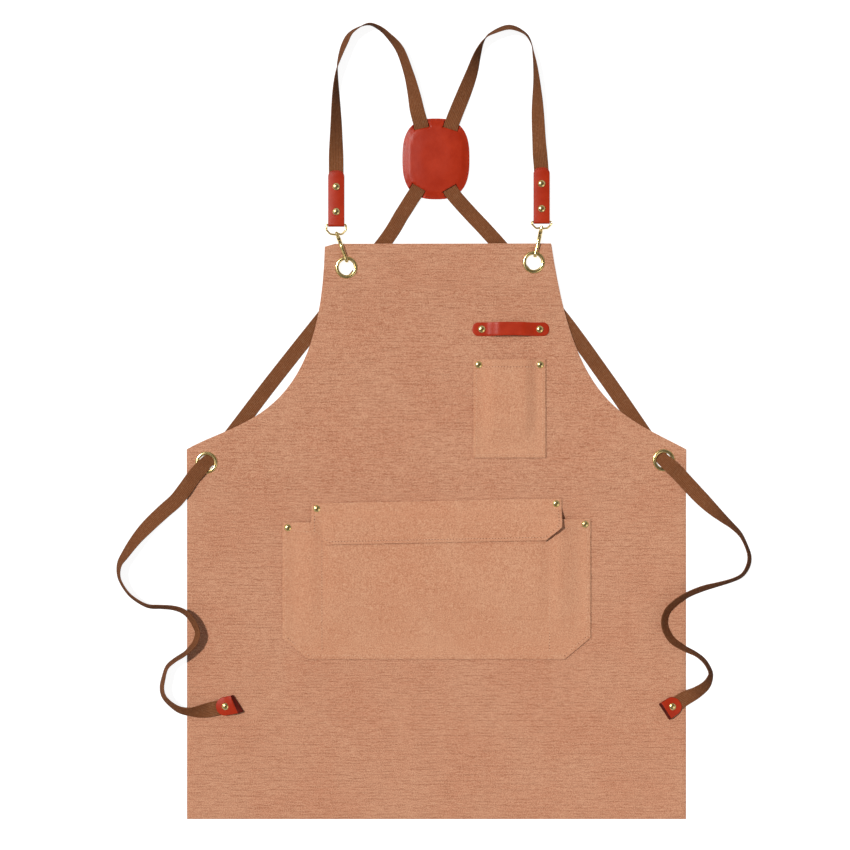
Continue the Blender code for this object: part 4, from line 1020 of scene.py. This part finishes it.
for side in SIDES:
    to_place = hook_frame(side)
    boss = moved(turned(side + "_boss", [(1.35 * MM, -BOSS_HALF), (2.2 * MM, -BOSS_HALF),
                                         (2.6 * MM, -BOSS_HALF + 0.4 * MM),
                                         (2.6 * MM, BOSS_HALF - 0.4 * MM), (2.2 * MM, BOSS_HALF),
                                         (1.35 * MM, BOSS_HALF)], 24, GOLD, closed=True),
                 to_place @ LIE_ALONG)
    axis, bar_y = TAB_AXIS[side], TAB_FOOT[side] + LEATHER_THICK + GAP + EYE_WIRE
    low = SWIVELS[side][1]
    ends = sorted(((to_place @ Vector((0, w * MM, 0))).to_tuple() for w in (-2.1, 2.1)))
    shape = [(-0.4, low - 0.1 * MM), (-0.56, low + 0.1 * MM), (-0.64, low + 0.7 * MM),
             (-0.93, low + 4.8 * MM), (-0.985, low + 5.7 * MM), (-1, low + 6.6 * MM),
             (-1.0, low + 9 * MM), (-0.99, bar_y - 0.9 * MM), (-0.96, bar_y - 0.25 * MM),
             (-0.9, bar_y), (-0.84, bar_y)]
    wire = [ends[0]] + [(axis + f * EYE_HALF, y, EYE_HEIGHT) for f, y in shape]
    wire += [(axis - f * EYE_HALF, y, EYE_HEIGHT) for f, y in reversed(shape)] + [ends[1]]
    loop = bar(side + "_loop", wire, 1.3 * MM, GOLD, sides=16)
    eye = fused(side + "_swivel_eye", boss, loop)
    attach(eye, "apron")
    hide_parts(side + "_hook_eye")

    head = BOSS_HALF + GAP
    post = moved(turned(side + "_post",
                        [(0.5 * MM, -head - 1.3 * MM), (1.5 * MM, -head - 1.2 * MM),
                         (1.9 * MM, -head - 0.8 * MM), (1.9 * MM, -head), (1.05 * MM, -head),
                         (1.05 * MM, head), (2.1 * MM, head), (2.4 * MM, head + 0.3 * MM),
                         (2.4 * MM, head + 1.4 * MM), (1.8 * MM, 4.6 * MM), (1.6 * MM, 5.4 * MM),
                         (0.4 * MM, 5.6 * MM)], 24, GOLD), to_place @ LIE_ALONG)
    rise, drop, reach = SPINE_RISE / MM, GATE_DROP / MM, HOOK_REACH / MM
    spine = smooth_curve([(3.4, 0, 0), (6, 0, 0.8), (9, 0, 2.8), (13, 0, 5.9), (17.5, 0, rise),
                          (reach - 7, 0, rise), (reach - 2.4, 0, rise),
                          (reach - 0.6, 0, rise - 0.8), (reach, 0.0, rise - 2.6),
                          (reach, 0.001, drop + 2.6), (reach - 0.5, 0, drop + 0.9),
                          (reach - 1.6, 0, drop)], 1.0)
    shares = [1.0 if u < 20 else max(0.87, 1 - (u - 20) * 0.03) for u, w, v in spine]
    backbone = moved(bar(side + "_spine", in_hook(spine), 1.5 * MM, GOLD, radii=shares, sides=16),
                     to_place @ Matrix.Scale(HOOK_FLATNESS, 4, (0, 1, 0)))
    bpy.ops.object.select_all(action="DESELECT")
    bpy.ops.mesh.primitive_cube_add(size=1, location=(7.6 * MM, 0, (drop + 0.7) * MM))
    lug = bpy.context.active_object
    lug.scale = (6.8 * MM, 2.8 * MM, 3.8 * MM)
    bpy.ops.object.transform_apply(location=True, scale=True)
    apply_modifier(lug, "BEVEL", width=0.5 * MM, segments=2)
    lug.data.materials.append(GOLD)
    moved(lug, to_place)
    pin_u = 9.5 * MM
    hook = fused(side + "_snap_hook", post, backbone, lug)
    hole = moved(turned(side + "_pin_hole", [(0.9 * MM, -4 * MM), (0.9 * MM, 4 * MM)], 20, GOLD),
                 to_place @ Matrix.Translation((pin_u, 0, GATE_DROP))
                 @ Matrix.Rotation(math.pi / 2, 4, "X"))
    cut(hook, copy_at(hole, "tool", Matrix.Identity(4)))
    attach(hook, side + "_clip")
    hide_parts(side + "_hook")

    # gate: a round bar with two cheeks
    gate_end = reach - 3.2
    leaf = moved(bar(side + "_leaf", in_hook([(11.6, 0, drop), (14, 0, drop), (gate_end - 0.5, 0, drop),
                                              (gate_end, 0, drop)]),
                     1.1 * MM, GOLD, radii=[1, 1, 1, 0.8], sides=16), to_place)
    bpy.ops.object.select_all(action="DESELECT")
    bpy.ops.mesh.primitive_cube_add(size=1, location=(10.4 * MM, 0, drop * MM))
    cheeks = bpy.context.active_object
    cheeks.scale = (4.4 * MM, 5.0 * MM, 2.0 * MM)
    bpy.ops.object.transform_apply(location=True, scale=True)
    apply_modifier(cheeks, "BEVEL", width=0.45 * MM, segments=2)
    bpy.ops.object.select_all(action="DESELECT")
    bpy.ops.mesh.primitive_cube_add(size=1, location=(8.9 * MM, 0, drop * MM))
    slot_tool = bpy.context.active_object
    slot_tool.scale = (5.0 * MM, 3.4 * MM, 4.0 * MM)
    bpy.ops.object.transform_apply(location=True, scale=True)
    cut(cheeks, slot_tool)
    cheeks.data.materials.append(GOLD)
    moved(cheeks, to_place)
    gate = fused(side + "_snap_gate", leaf, cheeks)
    cut(gate, hole)
    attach(gate, side + "_clip_gate")
    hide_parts(side + "_gate")
    pin = moved(turned(side + "_hinge_pin",
                       [(0.3 * MM, -2.8 * MM), (0.6 * MM, -2.8 * MM), (0.7 * MM, -2.7 * MM),
                        (0.7 * MM, 2.7 * MM), (0.6 * MM, 2.8 * MM), (0.3 * MM, 2.8 * MM)], 20,
                       GOLD), to_place @ Matrix.Translation((pin_u, 0, GATE_DROP))
                @ Matrix.Rotation(math.pi / 2, 4, "X"))
    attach(pin, side + "_clip")
    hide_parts(side + "_gate_pin")


# ------------------------------------------------------------------- leather
def folded_tab(name, tip, toward, length, half, base, fold, end_radius, flat, tent=0.0,
               ridge=6 * MM, skew=0.0):
    """A leather strip folded round at its tip, its two ends lying over and under the webbing:
    a short strip, spun round at the fold, drawn out again, its corners rounded, then given
    its thickness. tent raises a ridge across it, ridge from the tip, and the faces between the
    tip and the ridge then take a dark leather as painted shade on the fold's flank; skew draws
    one corner of the tip out."""
    middle_low = LEATHER_THICK / 2
    mid = fold + LEATHER_THICK / 2
    bend = mid + LEATHER_THICK / 2
    bpy.ops.object.select_all(action="DESELECT")
    bpy.ops.mesh.primitive_plane_add(size=1, location=(0, 0, middle_low))
    made = bpy.context.active_object
    made.name = name
    bpy.ops.object.transform_apply(location=True)
    bpy.ops.object.mode_set(mode="EDIT")
    bm = bmesh.from_edit_mesh(made.data)
    for vert in bm.verts:
        vert.co.x = half if vert.co.x > 0 else -half
        vert.co.y = length if vert.co.y > 0 else bend
    for vert in bm.verts:
        vert.select = abs(vert.co.y - bend) < 1e-7
    bm.select_flush_mode()
    bmesh.update_edit_mesh(made.data)
    bpy.ops.mesh.select_mode(type="EDGE")
    bpy.ops.mesh.spin(steps=9, angle=math.pi, center=(0, bend, middle_low + mid), axis=(1, 0, 0))
    taper = bend + 8 * MM
    step = (taper - bend) / 5
    top = flat - LEATHER_THICK / 2
    for _ in range(5):
        bpy.ops.mesh.extrude_region_move(TRANSFORM_OT_translate={
            "value": (0, step, (top - (middle_low + 2 * mid)) / 5)})
    run = length - taper - end_radius - 0.5 * MM
    for step in [run / 3] * 3 + [length - taper - run]:
        bpy.ops.mesh.extrude_region_move(TRANSFORM_OT_translate={"value": (0, step, 0)})
    bpy.ops.mesh.select_mode(type="VERT")
    bm = bmesh.from_edit_mesh(made.data)
    for vert in bm.verts:
        vert.select = abs(vert.co.y - length) < 1e-7
    bm.select_flush_mode()
    bmesh.update_edit_mesh(made.data)
    bpy.ops.mesh.bevel(offset=end_radius, segments=8, affect="VERTICES")
    bpy.ops.mesh.select_all(action="SELECT")
    bpy.ops.mesh.remove_doubles(threshold=1e-6)
    bpy.ops.mesh.normals_make_consistent(inside=False)
    bpy.ops.object.mode_set(mode="OBJECT")
    made.data.materials.append(LEATHER)
    made.data.materials.append(LEATHER_EDGE_PAINT_AND_HOLE_SHADE)
    apply_modifier(made, "SOLIDIFY", thickness=LEATHER_THICK, offset=0, material_offset_rim=1,
                   use_even_offset=True)
    apply_modifier(made, "BEVEL", width=0.35 * MM, segments=3, limit_method="ANGLE",
                   angle_limit=math.radians(60))
    only(made)
    bpy.ops.object.shade_smooth_by_angle(angle=math.radians(50))
    for vert in made.data.vertices:
        above = ease(vert.co.z, 0.5 * LEATHER_THICK, flat)
        rise = ease(vert.co.y, 0, ridge) * (1 - ease(vert.co.y, ridge, ridge + 15 * MM))
        vert.co.z += tent * rise * above
        vert.co.y += skew * vert.co.x / half * (1 - ease(vert.co.y, 0.3 * ridge, 1.3 * ridge))
    # painted shade: the faces between the tip and the ridge, the fold's flank turned from the light, take
    # the dark leather
    if tent:
        for face in made.data.polygons:
            centre = face.center
            if centre.y < ridge + skew * centre.x / half * 0.5 - 1 * MM:
                face.material_index = 2
        made.data.materials.append(FOLD_PAINTED_SHADE)
    return moved(made, Matrix(((toward[1], toward[0], 0, tip[0]), (-toward[0], toward[1], 0, tip[1]),
                               (0, 0, 1, base), (0, 0, 0, 1))))


def strip_outline(half, length, end_radius, inset):
    """The edge of a strip's round end and sides, moved in, about its own axis."""
    radius = max(end_radius - inset, 0.5 * MM)
    side, end = half - inset, length - inset
    out = [(-side, 3 * MM), (-side, end - radius)]
    for k in range(1, 7):
        a = math.pi - math.pi / 2 * k / 6
        out.append((-side + radius + radius * math.cos(a), end - radius + radius * math.sin(a)))
    for k in range(7):
        a = math.pi / 2 - math.pi / 2 * k / 6
        out.append((side - radius + radius * math.cos(a), end - radius + radius * math.sin(a)))
    return out + [(side, 3 * MM)]


TAB_LENGTH, TAB_HALF = 76.5 * MM, 11 * MM
flat_height = 2 * LEATHER_THICK + TAB_CHANNEL
for side in SIDES:
    tip = (TAB_AXIS[side], TAB_FOOT[side])
    tab = folded_tab(side + "_shoulder_leather", tip, (0, 1), TAB_LENGTH, TAB_HALF, 0,
                     EYE_WIRE + GAP, 8 * MM, flat_height)
    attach(tab, "apron")
    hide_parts(side + "_shoulder_tab")
    edge = [(tip[0] + x, tip[1] + y) for x, y in strip_outline(TAB_HALF, TAB_LENGTH, 7 * MM, 2 * MM)]
    thread = stitches(side + "_shoulder_stitches",
                      [[p for p in edge if p[1] > tip[1] + 12 * MM]],
                      lambda x, y: flat_height, RED_THREAD, pitch=3.2 * MM, thick=0.6 * MM)
    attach(thread, "apron")

TIE_TIP = {"left": (-269.5 * MM, -382.7 * MM), "right": (309.4 * MM, -394.5 * MM)}
TIE_WAY = {"left": (-0.976, -0.219), "right": (0.841, 0.541)}
TIE_LENGTH = {"left": 31 * MM, "right": 26 * MM}
TIE_HALF = 12.5 * MM
TIE_TENT = {"left": (3.6 * MM, 6.5 * MM, 4.5 * MM), "right": (2.2 * MM, 4 * MM, 0)}
for side in SIDES:
    tab = folded_tab(side + "_tie_leather", TIE_TIP[side], TIE_WAY[side], TIE_LENGTH[side],
                     TIE_HALF, OVER_PANEL * MM, TAB_CHANNEL / 2, 12 * MM, flat_height,
                     *TIE_TENT[side])
    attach(tab, side + "_tie")
    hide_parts(side + "_tie_tab")

# ---- cross-back patch ----
patch_low, patch_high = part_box("patch_back")
PATCH = ((patch_low[0] + patch_high[0]) / 2, (patch_low[1] + patch_high[1]) / 2)
PATCH_HALF = ((patch_high[0] - patch_low[0]) / 2, (patch_high[1] - patch_low[1]) / 2)
PATCH_POWER = 2.7
PATCH_FRONT = LEATHER_THICK + GAP
CREST = PATCH_FRONT + 2 * (WEB_THICK + GAP) + 0.2 * MM
PATCH_STEPS = [(0.2, CREST), (0.45, CREST), (0.865, PATCH_FRONT + 2.3 * MM),
               (0.915, PATCH_FRONT), (1.05, PATCH_FRONT)]
SLITS = (((-20.0 * MM, 399.0 * MM), (-0.20, 0.98)), ((18.4 * MM, 398.0 * MM), (0.29, 0.957)),
         ((-23.6 * MM, 320.0 * MM), (-0.50, -0.866)), ((17.0 * MM, 319.0 * MM), (0.50, -0.866)))


def patch_share(x, y):
    u, v = abs(x - PATCH[0]) / PATCH_HALF[0], abs(y - PATCH[1]) / PATCH_HALF[1]
    return (u ** PATCH_POWER + v ** PATCH_POWER) ** (1 / PATCH_POWER)


def patch_height(x, y):
    share = patch_share(x, y)
    if share <= PATCH_STEPS[0][0]:
        return CREST
    for (a, low), (b, high) in zip(PATCH_STEPS, PATCH_STEPS[1:]):
        if share <= b:
            return low + (high - low) * (share - a) / (b - a)
    return PATCH_FRONT


def patch_edge(scale, count=72):
    out = []
    for k in range(count):
        a = 2 * math.pi * k / count
        c, s = math.cos(a), math.sin(a)
        reach = scale * (abs(c) ** PATCH_POWER + abs(s) ** PATCH_POWER) ** (-1 / PATCH_POWER)
        out.append((PATCH[0] + PATCH_HALF[0] * reach * c, PATCH[1] + PATCH_HALF[1] * reach * s))
    return out


patch_front = sheet_piece("leather_patch_front", patch_edge(1), patch_height, LEATHER_THICK,
                          LEATHER, 4 * MM, hems=(1.6 * MM, 2.6 * MM, 3.4 * MM, 4.4 * MM),
                          relief=lambda x, y: -0.28 * MM * math.exp(
                              -((patch_share(x, y) - 0.945) / 0.012) ** 2),
                          round_over=0.35 * MM)
for (x, y), (dx, dy) in SLITS:
    bpy.ops.object.select_all(action="DESELECT")
    bpy.ops.mesh.primitive_cube_add(size=1)
    tool = bpy.context.active_object
    tool.scale = (9 * MM, WEB_WIDTH + 1.2 * MM, 40 * MM)
    bpy.ops.object.transform_apply(scale=True)
    moved(tool, Matrix.Translation((x + dx * 5 * MM, y + dy * 5 * MM, 20.4 * MM))
          @ Matrix.Rotation(math.atan2(dy, dx), 4, "Z"))
    cut(patch_front, tool)
patch_back = sheet_piece("leather_patch_back", patch_edge(1), lambda x, y: 0, LEATHER_THICK,
                         LEATHER, 12 * MM, hems=(3 * MM,), round_over=0.35 * MM)
patch_thread = stitches("leather_patch_stitches", [patch_edge(0.945) + patch_edge(0.945)[:1]],
                        lambda x, y: PATCH_FRONT + LEATHER_THICK - 0.15 * MM, RED_THREAD,
                        pitch=3.4 * MM, thick=0.7 * MM)

# ---- pen loop ----
loop_low, loop_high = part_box("pen_loop")
LOOP = ((loop_low[0] + loop_high[0]) / 2, (loop_low[1] + loop_high[1]) / 2)
LOOP_HALF = ((loop_high[0] - loop_low[0]) / 2, (loop_high[1] - loop_low[1]) / 2)


def loop_height(x, y):
    return (panel_lift(LOOP[1]) + POCKET_LIFT + 0.15 * MM
            + 4.6 * MM * (1 - ease(abs(x - LOOP[0]), 16 * MM, 33 * MM)))


def rounded(half_x, half_y, radius, steps=8):
    out = []
    for turn, (sx, sy) in enumerate(((1, 1), (-1, 1), (-1, -1), (1, -1))):
        for k in range(steps + 1):
            a = math.pi / 2 * (turn + k / steps)
            out.append((sx * (half_x - radius) + radius * math.cos(a),
                        sy * (half_y - radius) + radius * math.sin(a)))
    return out


def loop_bow(x, y):
    """The strap's long edges pull in a little where it stands up."""
    return y + 0.6 * MM * (1 - ease(abs(x - LOOP[0]), 10 * MM, 33 * MM))


pen_loop = sheet_piece("leather_pen_loop",
                       [(LOOP[0] + x, LOOP[1] + y) for x, y in rounded(*LOOP_HALF, 8 * MM)],
                       loop_height, LEATHER_THICK, LEATHER, 3 * MM, warp=loop_bow,
                       round_over=0.35 * MM)


# ------------------------------------------------------------- webbing pieces
def cupped(i, count):
    return 0.0


straps = {}
for side, route in (("left", LEFT_STRAP), ("right", RIGHT_STRAP)):
    strap, _, _ = webbing(side + "_cotton_strap", route)
    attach(strap, "apron")
    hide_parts(side + "_shoulder_strap")
    straps[side] = strap
for side, route in (("left", LEFT_TAIL), ("right", RIGHT_TAIL)):
    (ax, ay), (bx, by) = route[0][:2], route[1][:2]
    back = 5.2 * MM / math.dist((ax, ay), (bx, by))
    in_hole = (ax + (ax - bx) * back, ay + (ay - by) * back, 0.5 * MM, 0, 15 * MM)
    middle_row = (ax, ay, 2.6 * MM, 0, 17.5 * MM)
    route = [in_hole, middle_row, (*route[1][:4], 19 * MM)] + route[2:]
    tail, centres, length = webbing(side + "_cotton_tie", route)
    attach(tail, side + "_tie")
    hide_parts(side + "_tie_tail")
    print(side, "tie length", round(length, 4))

# ------------------------------------------------------------ who moves with what
for node, cap in RIVETS.items():
    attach(cap, node.replace("_rivet", "") if "_tie_" in node else "apron")
    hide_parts(node)
for piece, nodes, name in (
        (panel, ["body_panel"], "canvas"), (chest_pocket, ["chest_pocket"], "pocket_canvas"),
        (kangaroo_pocket, ["kangaroo_pocket"], "pocket_canvas"),
        (patch_front, ["patch_front"], "leather"), (patch_back, ["patch_back"], "leather"),
        (pen_loop, ["pen_loop"], "leather")):
    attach(piece, "apron")
    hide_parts(*nodes)
for thread in (chest_thread, kangaroo_thread, patch_thread):
    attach(thread, "apron")
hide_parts("flap_band", "pocket_flap")
for piece in (flap, flap_thread):
    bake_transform(piece)

# --------------------------------------------------------------------- stage
bpy.ops.object.select_all(action="DESELECT")
bpy.ops.mesh.primitive_plane_add(size=6, location=(0, 0, FLOOR_Z))
floor = bpy.context.active_object
floor.name = "floor"
paper, tree, shader = new_material("white_paper_sweep", 0.9)
shader.inputs["Base Color"].default_value = linear("9F9F9F")
shader.inputs["Specular IOR Level"].default_value = 0
shader.inputs["Emission Color"].default_value = (1, 1, 1, 1)
shader.inputs["Emission Strength"].default_value = 0.9
floor.data.materials.append(paper)
floor.visible_diffuse = False

world = bpy.data.worlds.new("studio")
bpy.context.scene.world = world
world.use_nodes = True
tree = world.node_tree
height = add(tree, "SeparateXYZ", Vector=add(tree, "TexCoord").outputs["Generated"]).outputs[2]
band = add(tree, "ValToRGB", Fac=height)
stops = band.color_ramp.elements
stops[0].position, stops[0].color = 0.0, (0.16, 0.16, 0.16, 1)
stops[1].position, stops[1].color = 0.96, (0.03, 0.028, 0.02, 1)
for position, value in ((0.3, 0.1), (0.42, 0.85), (0.62, 0.95), (0.72, 0.12), (0.86, 0.3)):
    stop = stops.new(position)
    stop.color = (value, value, value, 1)
tree.links.new(tree.nodes["Background"].inputs["Color"], band.outputs[0])
tree.nodes["Background"].inputs["Strength"].default_value = 0.62
